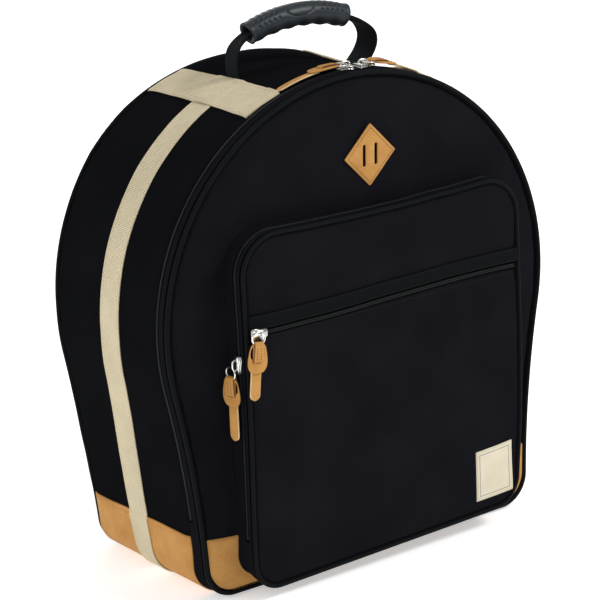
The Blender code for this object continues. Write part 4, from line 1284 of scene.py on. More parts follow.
def rounded_outline(corners, radius, steps=5):
    """A closed outline with its corners rounded, as (x, z) points."""
    points = []
    count = len(corners)
    for index, corner in enumerate(corners):
        corner = Vector(corner)
        before = (Vector(corners[index - 1]) - corner).normalized()
        after = (Vector(corners[(index + 1) % count]) - corner).normalized()
        for t in spread(0.0, 1.0, steps):
            near = corner + before * radius * (1 - t)
            far = corner + after * radius * t
            points.append(near.lerp(far, t))
    return points


def cut_leather(name, outline, holes, thickness, bevel, materials):
    """A flat leather cut-out in the x-z plane, facing -y, with softened edges."""
    curve = bpy.data.curves.new(name, "CURVE")
    curve.dimensions = "2D"
    curve.fill_mode = "BOTH"
    curve.extrude = thickness / 2 - bevel
    curve.bevel_depth = bevel
    curve.bevel_resolution = 1
    curve.offset = -bevel
    for points in (outline, *holes):
        spline = curve.splines.new("POLY")
        spline.points.add(len(points) - 1)
        for target, point in zip(spline.points, points):
            target.co = (point[0], point[1], 0.0, 1.0)
        spline.use_cyclic_u = True
    guide = bpy.data.objects.new(name, curve)
    bpy.context.scene.collection.objects.link(guide)
    piece = settled(guide, name)
    bm = bmesh.new()
    bm.from_mesh(piece.data)
    bmesh.ops.remove_doubles(bm, verts=bm.verts[:], dist=0.00001)
    bmesh.ops.recalc_face_normals(bm, faces=bm.faces[:])
    bm.normal_update()
    for face in bm.faces:
        face.material_index = 0 if abs(face.normal.z) > 0.9 else len(materials) - 1
    bm.to_mesh(piece.data)
    bm.free()
    piece.data.transform(Matrix.Rotation(math.pi / 2, 4, "X"))
    piece.data.materials.clear()
    for material in materials:
        piece.data.materials.append(material)
    return piece


def slot_outline(middle, length, width):
    x, z = width / 2, length / 2
    corners = [(middle - x, -z), (middle + x, -z), (middle + x, z), (middle - x, z)]
    return rounded_outline(corners, width * 0.45, 4)


def pulled_askew(points):
    """The patch was sewn on a little out of square."""
    return [(x + PATCH_SKEW * z, z) for x, z in points]


def along_sides(corners, count):
    """Evenly spaced points along each side of a closed outline."""
    points = []
    for near, far in zip(corners, corners[1:] + corners[:1]):
        points += [between(near, far, share) for share in spread(0.0, 1.0, count)[:-1]]
    return points


diamond = [(PATCH_HALF, 0.0), (0.0, PATCH_HALF), (-PATCH_HALF, 0.0), (0.0, -PATCH_HALF)]
slots = [
    slot_outline(middle, PATCH_SLOT_LENGTH, PATCH_SLOT_WIDTH)
    for middle in (-PATCH_SLOT_MIDDLE, PATCH_SLOT_MIDDLE)
]
patch = cut_leather(
    "diamond_patch", pulled_askew(rounded_outline(diamond, 0.0012)),
    [pulled_askew(slot) for slot in slots], PATCH_THICKNESS, 0.0006, [LEATHER, CUT_EDGE],
)
above = face_under(FRONT_SKIN, PATCH_X, PATCH_HEIGHT + PATCH_HALF, FRONT_Y)
below = face_under(FRONT_SKIN, PATCH_X, PATCH_HEIGHT - PATCH_HALF, FRONT_Y)
lean = math.atan2(above - below, 2 * PATCH_HALF) * 0.45
patch_middle = Vector((PATCH_X, (above + below) / 2 - 0.0024, PATCH_HEIGHT))
patch_place = Matrix.Translation(patch_middle) @ Matrix.Rotation(-lean, 4, "X")
patch.data.transform(patch_place)
BROWN_THREAD = Finish("brown_thread", 0.7).surface(Base_Color=(0.20, 0.085, 0.025))
corners = [(x * PATCH_SEAM_SHARE, z * PATCH_SEAM_SHARE) for x, z in pulled_askew(diamond)]
seam = along_sides(corners, 14)
points = [patch_place @ Vector((x, -PATCH_THICKNESS / 2 - 0.0001, z)) for x, z in seam]
patch_seam = front_stitches(
    "patch_stitches", points, spacing=0.0031, thread=0.0007, material=BROWN_THREAD, closed=True
)
patch = joined("diamond_patch", [patch, patch_seam])
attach(patch, "front_door")
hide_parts("lash_patch")


# ---- Pocket wall ----
# The front pocket stands off the door on a narrow nylon wall, which is sewn to the front along its
# rear edge and follows the dome there. A second coil zip opens the pocket from side to side.
POCKET_HALF = 0.153
POCKET_BOTTOM = 0.014
POCKET_TOP = 0.338
POCKET_Y = -0.127
POCKET_ZIP_Y = -0.117
POCKET_WALL_Y = -0.1137
POCKET_TOP_RADIUS = 0.038
POCKET_FOOT_RADIUS = 0.028
POCKET_ZIP_FOOT = 0.060
TOP_RUN = POCKET_HALF - POCKET_TOP_RADIUS
TOP_CORNER = POCKET_TOP_RADIUS * math.pi / 2
SIDE_RUN = POCKET_TOP - POCKET_BOTTOM - POCKET_TOP_RADIUS - POCKET_FOOT_RADIUS
FOOT_CORNER = POCKET_FOOT_RADIUS * math.pi / 2
POCKET_GIRTH = TOP_RUN + TOP_CORNER + SIDE_RUN + FOOT_CORNER + POCKET_HALF - POCKET_FOOT_RADIUS


def pocket_edge(run):
    """Point and outward direction on the pocket's outline, a run from the middle of its top."""
    if run > POCKET_GIRTH:
        run -= 2 * POCKET_GIRTH
    side = -1.0 if run < 0 else 1.0
    rest = abs(run)
    if rest < TOP_RUN:
        point, out = Vector((rest, POCKET_TOP)), Vector((0.0, 1.0))
    elif rest < TOP_RUN + TOP_CORNER:
        out = heading((rest - TOP_RUN) / POCKET_TOP_RADIUS)
        point = Vector((TOP_RUN, POCKET_TOP - POCKET_TOP_RADIUS)) + out * POCKET_TOP_RADIUS
    elif rest < TOP_RUN + TOP_CORNER + SIDE_RUN:
        out = Vector((1.0, 0.0))
        down = rest - TOP_RUN - TOP_CORNER
        point = Vector((POCKET_HALF, POCKET_TOP - POCKET_TOP_RADIUS - down))
    elif rest < TOP_RUN + TOP_CORNER + SIDE_RUN + FOOT_CORNER:
        out = heading(math.pi / 2 + (rest - TOP_RUN - TOP_CORNER - SIDE_RUN) / POCKET_FOOT_RADIUS)
        centre = Vector((POCKET_HALF - POCKET_FOOT_RADIUS, POCKET_BOTTOM + POCKET_FOOT_RADIUS))
        point = centre + out * POCKET_FOOT_RADIUS
    else:
        point, out = Vector((POCKET_GIRTH - rest, POCKET_BOTTOM)), Vector((0.0, -1.0))
    return Vector((side * point.x, point.y)), Vector((side * out.x, out.y))


def pocket_at(run, y, lift=0.0):
    point, out = pocket_edge(run)
    return Vector((point.x + out.x * lift, y, point.y + out.y * lift))


SEAT_Y = -0.0949
STAND_OFF = 0.0321
FOOT_DRAWN = 0.0050
TOP_SAG = 0.0027
ZIP_WAVE = 0.0015
CREASE_PLACE = (0.120, 0.222)
CREASE_WAY = (0.51, 0.86)
FOOT_ASIDE = 0.0045
FOOT_TILT = 0.0045


def zip_crease(x, z):
    """The ridge and the hollow beside it that a tug on the zip pressed into the pocket's front."""
    from_x, from_z = x - CREASE_PLACE[0], z - CREASE_PLACE[1]
    across = (from_x * CREASE_WAY[1] - from_z * CREASE_WAY[0]) / 0.0065
    along = (from_x * CREASE_WAY[0] + from_z * CREASE_WAY[1]) / 0.024
    crest = 0.0018 * math.exp(-(across ** 2)) - 0.0010 * math.exp(-((across - 1.9) ** 2))
    return crest * math.exp(-(along ** 2))


def hung(piece):
    """The pocket is slack: its top hangs, its zip waves and its foot is drawn in and aside."""
    for vert in piece.data.vertices:
        x, y, z = vert.co
        stands_off = min(1.1, max(0.0, (SEAT_Y - y) / STAND_OFF))
        drawn = FOOT_DRAWN * smooth_step((0.200 - z) / 0.160) * stands_off
        sag = TOP_SAG * max(0.0, 1 - (x / 0.118) ** 2) * smooth_step((z - 0.296) / 0.036)
        wave = 0.0006 * noise.noise(Vector((x * 26.0, 3.0, z * 9.0)))
        wave *= smooth_step((z - 0.21) / 0.03)
        inside = smooth_step((POCKET_HALF - 0.006 - abs(x)) / 0.02)
        near_zip = math.exp(-(((z - 0.252) / 0.032) ** 2))
        wave += ZIP_WAVE * math.sin(math.pi * x / POCKET_HALF) * near_zip * inside
        drawn -= zip_crease(x, z) * inside * min(1.0, stands_off)
        foot = smooth_step((0.110 - z) / 0.095) * stands_off
        aside = FOOT_ASIDE * foot * smooth_step((x - 0.06) / 0.09)
        tilt = FOOT_TILT * foot * x / POCKET_HALF
        vert.co = (x - aside, y + drawn, z - sag + wave + tilt)
    piece.data.update()


pocket_section = hem_section(0.0, 1.0, -NYLON_THICKNESS, 0.0, 12, 0.03)
pocket_rings = []
for run in spread(-POCKET_GIRTH, POCKET_GIRTH, 301)[:-1]:
    point, out = pocket_edge(run)
    place = point - out * 0.001
    seat = face_under(FRONT_SKIN, place.x, place.y, FRONT_Y) + 0.0006
    ring = []
    for share, lift in pocket_section:
        y = POCKET_WALL_Y + (seat - POCKET_WALL_Y) * share
        middle = math.sin(math.pi * min(1.0, max(0.0, share)))
        crease = 0.0010 * noise.noise(Vector((run * 34.0, share * 1.7, 4.4))) * middle
        ring.append(pocket_at(run, y, lift - 0.0009 * middle + crease))
    pocket_rings.append(ring)
pocket_wall = sweep("pocket_wall", pocket_rings, True, [NYLON])
seam = []
for run in spread(-POCKET_GIRTH, POCKET_GIRTH, 281)[:-1]:
    point, out = pocket_edge(run)
    place = point + out * 0.0014
    y = face_under(FRONT_SKIN, place.x, place.y, FRONT_Y) - 0.0005
    seam.append(Vector((place.x, y, place.y)))
BLACK_THREAD = Finish("black_thread", 0.6, Specular_IOR_Level=0.1).surface(
    Base_Color=(0.014, 0.015, 0.017)
)
pocket_seam = front_stitches(
    "pocket_seam", seam, spacing=0.0036, thread=0.0006, material=BLACK_THREAD, closed=True
)
pocket_wall = joined("pocket_wall", [pocket_wall, pocket_seam])
hung(pocket_wall)
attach(pocket_wall, "front_door")
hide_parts("pocket_gusset")

POCKET_ZIP_RUN = TOP_RUN + TOP_CORNER + (POCKET_TOP - POCKET_TOP_RADIUS - POCKET_ZIP_FOOT)


def pocket_zip_half(name, side, tape_edge):
    half = zip_half(
        name, side, POCKET_ZIP_Y, tape_edge, POCKET_ZIP_RUN, pocket_edge, pocket_at, (220, 380)
    )
    hung(half)
    return half


pocket_rear_zip = pocket_zip_half("pocket_rear_zip", 1, POCKET_WALL_Y + 0.0012)
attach(pocket_rear_zip, "front_door")
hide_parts("pocket_zip_rear_half")
pocket_front_zip = pocket_zip_half("pocket_front_zip", -1, POCKET_ZIP_Y - 0.0045)
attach(pocket_front_zip, "pocket_flap")
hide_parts("pocket_zip_front_half")


# ---- Pocket edge ----
# A nylon edge strip and a thinner piping frame the pocket's front. Below the zip's ends the strip
# runs on to the wall uncut, and the pocket's front folds down on it.
POCKET_STRIP_START = 0.0029
edge_section = hem_section(
    POCKET_Y + POCKET_STRIP_START, POCKET_ZIP_Y - 0.0029, -STRIP_THICKNESS, 0.0002, 5, STRIP_EDGE
)
edge_rings = [
    [pocket_at(run, y, lift) for y, lift in edge_section]
    for run in spread(-POCKET_ZIP_RUN, POCKET_ZIP_RUN, 240)
]
pocket_strip = sweep("pocket_strip", edge_rings, False, [NYLON])
hung(pocket_strip)
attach(pocket_strip, "pocket_flap")
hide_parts("pocket_edge_strip")

fold_section = hem_section(
    POCKET_Y + POCKET_STRIP_START, POCKET_WALL_Y - 0.0002, -STRIP_THICKNESS, 0.0, 12, STRIP_EDGE
)
fold_rings = [
    [pocket_at(run, y, lift) for y, lift in fold_section]
    for run in spread(POCKET_ZIP_RUN + 0.0003, 2 * POCKET_GIRTH - POCKET_ZIP_RUN - 0.0003, 150)
]
pocket_fold = sweep("pocket_fold", fold_rings, False, [NYLON])
hung(pocket_fold)
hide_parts("pocket_hinge_strip")
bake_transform(pocket_fold)

POCKET_PIPING_RADIUS = 0.0021
pocket_cord = piping(
    "pocket_piping_cord", lambda run, y, lift: pocket_at(run, POCKET_Y + y, lift - 0.0002),
    2 * POCKET_GIRTH, POCKET_PIPING_RADIUS, 380,
)
hung(pocket_cord)
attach(pocket_cord, "pocket_flap")
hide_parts("pocket_piping")


# ---- Pocket front ----
# The pocket's front is nylon in two panels, above and below a zip for a slip pocket. Both swell a
# little between their seams. A ribbed ribbon is sewn over the zip's upper tape.
SLIP_ZIP_Z = 0.2515
SLIP_LOW = SLIP_ZIP_Z - 0.0036
RIBBON_LOW = SLIP_ZIP_Z + 0.0036
RIBBON_HIGH = 0.2681
FACE_INSET = 0.0043
PANEL_GROWTH = 0.0014
FACE_Y = POCKET_Y - 0.0009
FACE_BACK_Y = POCKET_Y + 0.0046
BACKING_NEAR_Y = POCKET_Y + 0.0055
BACKING_FAR_Y = POCKET_Y + 0.0063
SEAM_HELD = 0.004
FACE_HELD_Y = POCKET_Y + 0.0020


def face_rim(low, high, inset=FACE_INSET - PANEL_GROWTH):
    """The pocket's front between two heights, as a closed outline."""
    rim = []
    for run in spread(-POCKET_GIRTH, POCKET_GIRTH, 261)[:-1]:
        point, out = pocket_edge(run)
        point = point - out * inset
        rim.append(Vector((point.x, min(high, max(low, point.y)))))
    tidy = [rim[0]]
    for point in rim[1:]:
        if (point - tidy[-1]).length > 0.0004:
            tidy.append(point)
    return tidy


def edge_distance(x, z, low, high):
    """Distance from a point to the nearest seam of a pocket panel."""
    side = POCKET_HALF - FACE_INSET - abs(x)
    return max(0.0, min(side, high - z, z - low))


def puffed(low, high, rise, reach):
    """A panel's front face: level at its seams, swelling to its full rise within a reach."""
    def face(x, z):
        side = smooth_step((POCKET_HALF - FACE_INSET - abs(x)) / reach)
        top = smooth_step((high - z) / reach)
        foot = smooth_step((z - low) / reach)
        return FACE_Y - rise * side ** 0.5 * (top * foot) ** 0.5
    return face


def pocket_panel(name, rim, seams, face, rows, pressure, cap, crease):
    """A stuffed panel of the pocket's front, swollen and puckered between its two seams."""
    def apart(x, z):
        return edge_distance(x, z, *seams)

    def held(x, y, z):
        return 1.0 if apart(x, z) < SEAM_HELD or y > FACE_HELD_Y else 0.0

    panel = disc_panel(
        name, rim, Vector((0.0, sum(seams) / 2)), face, lambda x, z: FACE_BACK_Y, [NYLON], rows=rows
    )
    panel = inflated(panel, held, pressure, cap, voxel=0.004)
    creased(panel, apart, crease)
    hung(panel)
    return panel


LOW_EDGE = POCKET_BOTTOM + FACE_INSET
lower_panel = pocket_panel(
    "pocket_lower_cloth", face_rim(LOW_EDGE - PANEL_GROWTH, SLIP_LOW + 0.0012),
    (LOW_EDGE, SLIP_LOW), puffed(LOW_EDGE, SLIP_LOW, 0.0035, 0.06),
    rows=24, pressure=5.0, cap=0.0035, crease=0.0010,
)
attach(lower_panel, "pocket_flap")
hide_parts("pocket_lower_panel")

HIGH_EDGE = POCKET_TOP - FACE_INSET
upper_panel = pocket_panel(
    "pocket_upper_cloth", face_rim(RIBBON_HIGH - 0.0050, HIGH_EDGE + PANEL_GROWTH),
    (RIBBON_HIGH, HIGH_EDGE), puffed(RIBBON_HIGH, HIGH_EDGE, 0.0022, 0.03),
    rows=14, pressure=4.0, cap=0.0018, crease=0.0009,
)
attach(upper_panel, "pocket_flap")
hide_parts("pocket_upper_panel")

pocket_backing = disc_panel(
    "pocket_backing_cloth", face_rim(POCKET_BOTTOM, POCKET_TOP, 0.0030), Vector((0.0, 0.176)),
    lambda x, z: BACKING_NEAR_Y, lambda x, z: BACKING_FAR_Y, [LINING], rows=10,
)
unroll_flat(pocket_backing)
hung(pocket_backing)
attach(pocket_backing, "pocket_flap")
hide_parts("slip_pocket_backing")


# ---- Slip pocket zip and ribbon ----
# A straight coil zip crosses the pocket, under a ribbon of ribbed black tape. Its narrow tapes are
# near-black, painted shade for the gaps beside the coil. Black thread holds the ribbon along both
# its edges, and the zip to the panel below it.
RIBBON = taped("ribbed_ribbon", 0.0017, 0.00030, 0.65, 0.42)
SLIP_COIL_START = -0.1465
SLIP_COIL_END = 0.1445


def across_strip(name, low, high, near, far, material, waver=0.0):
    """A flat strip across the pocket's front, rounded at its long edges."""
    section = hem_section(low, high, -far, -near, 8, 0.0005)
    half = POCKET_HALF - FACE_INSET + 0.0004
    rings = []
    for x in spread(-half, half, 140):
        shift = waver * noise.noise(Vector((x * 22.0, low * 50.0, 1.5)))
        rings.append([Vector((x, POCKET_Y + depth + shift, z)) for z, depth in section])
    return sweep(name, rings, False, [material])


ribbon = across_strip("pocket_ribbon", RIBBON_LOW, RIBBON_HIGH, 0.0026, -0.0004, RIBBON, 0.0004)
ribbon_rows = [ribbon]
for z in (RIBBON_LOW + 0.0012, RIBBON_HIGH - 0.0012):
    points = [Vector((x, POCKET_Y - 0.0027, z)) for x in spread(-0.146, 0.146, 120)]
    ribbon_rows.append(front_stitches(
        "ribbon_stitches", points, spacing=0.0030, thread=0.0005, material=BLACK_THREAD
    ))
ribbon = joined("pocket_ribbon", ribbon_rows)
hung(ribbon)
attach(ribbon, "pocket_flap")
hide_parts("pocket_zip_ribbon")

# The slip zip's tape is near-black: painted shade for the gaps on either side of the coil.
slip_tape = across_strip("slip_tape", SLIP_LOW, RIBBON_LOW, 0.0004, -0.0008, PAINTED_SHADE_TAPE)
turn = rounded_bar("coil_turn", *COIL_TURN)
slip_rows = [slip_tape]
for side in (-1, 1):
    start = SLIP_COIL_START + (0.0004 if side > 0 else 0.0)
    points = [
        Vector((x, POCKET_Y - 0.0012, SLIP_ZIP_Z + side * 0.0009))
        for x in spread(start, SLIP_COIL_END, 200)
    ]
    coil = repeat_along(
        f"slip_coil_{side}", points, [FORWARDS] * len(points), turn, COIL_PITCH, COIL
    )
    slip_rows.append(coil)
drop(turn)
slip_zip = joined("slip_zip", slip_rows)
hung(slip_zip)
POCKET_SKIN = skin_of(lower_panel)
places = [(x, SLIP_LOW - 0.0020) for x in spread(-0.145, 0.145, 120)]
points = [Vector((x, face_under(POCKET_SKIN, x, z, FACE_Y) - 0.0001, z)) for x, z in places]
hem_seam = front_stitches(
    "slip_hem_stitches", points, spacing=0.0030, thread=0.0005, material=BLACK_THREAD
)
slip_zip = joined("slip_zip", [slip_zip, hem_seam])
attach(slip_zip, "pocket_flap")
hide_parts("slip_pocket_zip")


# ---- Label ----
# A woven cream label, bare but for a thin grey frame line, is sewn into the pocket's lower corner.
# Small cream stitches run round its edge, and it sits a little crooked.
LABEL_X = 0.117
LABEL_Z = 0.0580
LABEL_HALF_WIDTH = 0.0220
LABEL_HALF_HEIGHT = 0.0248
LABEL_TILT = math.radians(2.0)
LABEL_LINE_INSET = 0.0042
LABEL_LINE_HALF = 0.00032
THREAD_PITCH = 0.0005


def label_weave():
    cloth = Finish("cream_label", 0.85, Specular_IOR_Level=0.15)
    turned = {"Vector": cloth.place(), "Location": (-LABEL_X, 0.0, -LABEL_Z)}
    centred = cloth.node("ShaderNodeMapping", {"vector_type": "POINT"}, turned)
    level = {"Vector": centred, "Rotation": (0.0, LABEL_TILT, 0.0)}
    place = cloth.node("ShaderNodeMapping", {"vector_type": "POINT"}, level)
    split = cloth.node("ShaderNodeSeparateXYZ", None, {0: place})
    across = abs(split)
    height = abs(Value(cloth, split.socket.node.outputs[2]))
    inside = (across - LABEL_HALF_WIDTH).most(height - LABEL_HALF_HEIGHT)
    line = abs(inside + LABEL_LINE_INSET) < LABEL_LINE_HALF
    length, width = cloth.unrolled()
    turns = math.pi / THREAD_PITCH
    weave = (length * turns).sine() * (width * turns).sine()
    soil = cloth.cloud(60.0, 4.0)
    plain = cloth.mix((soil + weave * 0.15).as_share(), (0.62, 0.545, 0.40), (0.82, 0.75, 0.60))
    return cloth.surface(
        Base_Color=cloth.mix(line, plain, (0.20, 0.20, 0.20)),
        Normal=cloth.bump(weave, 0.00012),
    )


LABEL_CLOTH = label_weave()


def on_label(across, height, lift):
    """A point on the label, which is sewn on a little crooked."""
    x = LABEL_X + across * math.cos(LABEL_TILT) - height * math.sin(LABEL_TILT)
    z = LABEL_Z + across * math.sin(LABEL_TILT) + height * math.cos(LABEL_TILT)
    return Vector((x, face_under(POCKET_SKIN, x, z, FACE_Y) - lift, z))


label_rings = []
for height in spread(LABEL_HALF_HEIGHT, -LABEL_HALF_HEIGHT, 26):
    columns = spread(-LABEL_HALF_WIDTH, LABEL_HALF_WIDTH, 24)
    front = [on_label(across, height, 0.0010) for across in columns]
    label_rings.append(front + [on_label(across, height, 0.0001) for across in reversed(columns)])
label = sweep("plain_label", label_rings, False, [LABEL_CLOTH])
LABEL_THREAD = Finish("label_thread", 0.7).surface(Base_Color=(0.62, 0.555, 0.40))
corner_x, corner_z = LABEL_HALF_WIDTH - 0.0016, LABEL_HALF_HEIGHT - 0.0016
seam_corners = [
    (-corner_x, -corner_z), (corner_x, -corner_z), (corner_x, corner_z), (-corner_x, corner_z)
]
seam = [on_label(across, height, 0.00115) for across, height in along_sides(seam_corners, 16)]
label_seam = front_stitches(
    "label_stitches", seam, spacing=0.0026, thread=0.0005, material=LABEL_THREAD, closed=True
)
label = joined("plain_label", [label, label_seam])
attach(label, "pocket_flap")
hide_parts("woven_label")


# ---- Zip sliders and rings ----
# Each slider is a small plated casting with a waisted top plate, a lower plate and a bail. A plain
# wire ring hangs in the bail.
RING_HEIGHT = 0.0049
BAIL_RADIUS = 0.0008
WIRE_TURNS = spread(0.0, 2 * math.pi, 13)[:-1]


def plated():
    metal = Finish("plated_metal", 0.2, Metallic=1.0)
    scuff = metal.cloud(180.0, 4.0)
    return metal.surface(
        Base_Color=metal.mix(scuff, (0.70, 0.69, 0.66), (0.86, 0.85, 0.82)),
        Roughness=0.14 + scuff * 0.16,
    )


METAL = plated()


def axes_at(place, across, hang):
    turn = Matrix((across, hang, across.cross(hang))).transposed().to_4x4()
    return Matrix.Translation(place) @ turn


def slider_frames():
    """Each slider's place on its zip: x along the ring's wire, y as the pull hangs, z outwards."""
    frames = {}
    for label, angle, side in (("left", math.radians(1.2), -1), ("right", math.radians(6.4), 1)):
        point = CROWN_CENTRE + heading(angle) * CROWN_RADIUS
        across = Vector((0.0, -side, 0.0))
        hang = Vector((side * math.cos(angle), 0.0, -side * math.sin(angle)))
        frames[f"main_{label}"] = axes_at(Vector((point.x, ZIP_Y, point.y)), across, hang)
    down = Vector((0.0, 0.0, -1.0))
    inwards, leftwards = Vector((0.0, 1.0, 0.0)), Vector((-1.0, 0.0, 0.0))
    frames["pocket"] = axes_at(Vector((-0.153, POCKET_ZIP_Y, 0.2235)), inwards, down)
    frames["slip_pocket"] = axes_at(Vector((-0.1400, -0.1296, SLIP_ZIP_Z)), leftwards, down)
    return frames


def plate(name, outline, low, high, bevel):
    """A small plate with a bevelled outline, flat at two heights."""
    bm = bmesh.new()
    base = [bm.verts.new((x, y, low)) for x, y in outline]
    face = bm.faces.new(base)
    grown = bmesh.ops.extrude_face_region(bm, geom=[face])
    top = [item for item in grown["geom"] if isinstance(item, bmesh.types.BMVert)]
    bmesh.ops.translate(bm, verts=top, vec=(0.0, 0.0, high - low))
    bmesh.ops.recalc_face_normals(bm, faces=bm.faces[:])
    bmesh.ops.bevel(
        bm, geom=bm.edges[:], offset=bevel, segments=2, affect="EDGES", clamp_overlap=True
    )
    return new_piece(name, bm, [METAL])


def wire(name, points, radius, material):
    """A round wire with two ends, through points, as a mesh."""
    rings = []
    for index, point in enumerate(points):
        before = points[max(0, index - 1)]
        after = points[min(len(points) - 1, index + 1)]
        along = (after - before).normalized()
        side = along.cross(Vector((1.0, 0.0, 0.0)))
        if side.length < 0.3:
            side = along.cross(Vector((0.0, 0.0, 1.0)))
        side.normalize()
        other = along.cross(side)
        rings.append([
            point + side * radius * math.cos(turn) + other * radius * math.sin(turn)
            for turn in WIRE_TURNS
        ])
    return sweep(name, rings, False, [material])


def slider(name, turned):
    """A slider whose zip runs along y, or across it where it is turned."""
    shape = [(0.0052, -0.0078), (0.0056, -0.0040), (0.0040, 0.0010), (0.0034, 0.0078)]
    outline = shape + [(-x, y) for x, y in reversed(shape)]
    top = plate("top_plate", outline, 0.0021, 0.0034, 0.0005)
    low = plate("low_plate", [(x * 0.9, y * 0.96) for x, y in outline], 0.0002, 0.0012, 0.0003)
    wedge_outline = [(x * 0.42, -0.0066 + abs(y) * 0.3) for x, y in outline]
    wedge = plate("wedge", wedge_outline, 0.0010, 0.0023, 0.0002)
    pieces = [top, low, wedge]
    if turned:
        for piece in pieces:
            piece.data.transform(Matrix.Rotation(math.pi / 2, 4, "Z"))
    bail = [(-0.0046, 0.0028), (-0.0047, 0.0052), (-0.0038, 0.0066), (-0.0020, 0.0071)]
    bail += [(0.0, 0.0072)] + [(-y, z) for y, z in reversed(bail)]
    points = [Vector((0.0, y, z)) for y, z in bail]
    pieces.append(wire("bail", points, BAIL_RADIUS, METAL))
    return joined(name, pieces)


FRAMES = slider_frames()
for label in FRAMES:
    body = label.replace("main_", "")
    casting = slider(f"{label}_casting", label == "slip_pocket")
    casting.data.transform(FRAMES[label])
    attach(casting, f"slider_{body}")
    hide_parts(f"{label}_slider")


# ---- Leather pulls ----
# Each pull is one strip of leather. It folds through the ring, its neck dives through a slot in its
# own drop-shaped head, and its tail hangs out below. The cut edges are paler than the nap.
PULL_YAW = {
    "main_left": math.radians(-7), "main_right": math.radians(5),
    "pocket": math.radians(-1), "slip_pocket": math.radians(-8),
}
PULL_ROLL = {
    "main_left": math.radians(7), "main_right": math.radians(4), "pocket": math.radians(-11),
}
PULL_SHIFT = {"slip_pocket": (0.0026, -0.0028, 0.0), "pocket": (0.0032, 0.0016, 0.0022)}
PULL_LEAN = {
    "main_left": math.radians(-1.5), "main_right": math.radians(-1.5),
    "slip_pocket": math.radians(2),
}
PULL_DRAPE = {"main_left": 0.150, "main_right": 0.150}
TAIL_END = {"main_left": 0.0700, "main_right": 0.0668, "pocket": 0.0682, "slip_pocket": 0.0606}
TAIL_HALF = 0.0052
STRAP_THICKNESS = 0.0014
STRAP_LIFT = 0.0019
NECK_START = 0.0125
NECK_HALF = 0.0049
RING_MIDDLE = 0.0055
RING_HALF_WIDTH = 0.0066
RING_HALF_LENGTH = 0.0056
RING_WIRE = 0.00085


def pull_layer(name, stations, edge):
    """A strip of leather through (place, half width, height) stations, with cut edges."""
    low, high = -STRAP_THICKNESS / 2, STRAP_THICKNESS / 2
    rings = []
    for index, (place, half, height) in enumerate(stations):
        before = stations[max(0, index - 1)]
        after = stations[min(len(stations) - 1, index + 1)]
        slope = Vector((0.0, after[0] - before[0], after[2] - before[2])).normalized()
        normal = Vector((0.0, -slope.z, slope.y))
        section = hem_section(-half, half, low, high, 7, min(0.0004, half * 0.4))
        rings.append([Vector((x, place, height)) + normal * lift for x, lift in section])
    return sweep(name, rings, False, [LEATHER, edge], lambda step: 6 <= step < 12 or step >= 18)


PRESSED = Finish("pressed_leather", 0.8).surface(Base_Color=(0.20, 0.075, 0.018))
HEAD_SHAPE = [
    (0.0058, 0.0104), (0.0076, 0.0126), (0.0086, 0.0161), (0.0094, 0.0201), (0.0100, 0.0241),
    (0.0101, 0.0271), (0.0096, 0.0302), (0.0083, 0.0330), (0.0063, 0.0350), (0.0035, 0.0362),
]
HEAD_SLIT = [
    (-0.0050, 0.0124), (-0.0064, 0.0128), (-0.0077, 0.0152), (-0.0082, 0.0186),
    (-0.0078, 0.0216), (-0.0060, 0.0238), (-0.0048, 0.0226),
]


def leather_head(name, side):
    """The drop-shaped head, with a slit on one side of the neck, in the strip's own frame."""
    outline = HEAD_SHAPE + [(-x, place) for x, place in reversed(HEAD_SHAPE)]
    slit = [(side * x, place) for x, place in HEAD_SLIT]
    if side < 0:
        slit.reverse()
    head = cut_leather(name, outline, [slit], STRAP_THICKNESS, 0.0003, [LEATHER, CUT_EDGE])
    head.data.transform(Matrix.Rotation(-math.pi / 2, 4, "X"))
    bm = bmesh.new()
    bm.from_mesh(head.data)
    for place in spread(0.0126, 0.0346, 12):
        cut = bm.verts[:] + bm.edges[:] + bm.faces[:]
        bmesh.ops.bisect_plane(bm, geom=cut, plane_co=(0.0, place, 0.0), plane_no=(0.0, 1.0, 0.0))
    bm.to_mesh(head.data)
    bm.free()
    return head


def tail_half(place, last):
    """The tail is straight, with a round end."""
    rest = last - place
    if rest >= TAIL_HALF:
        return TAIL_HALF
    return max(0.0006, math.sqrt(max(0.0, TAIL_HALF ** 2 - (TAIL_HALF - rest) ** 2)))


def pressed_row(name, points, dot, spacing):
    """Marks pressed into the leather along a line."""
    return repeat_along(name, points, [(0.0, 0.0, 1.0)] * len(points), dot, spacing, PRESSED)


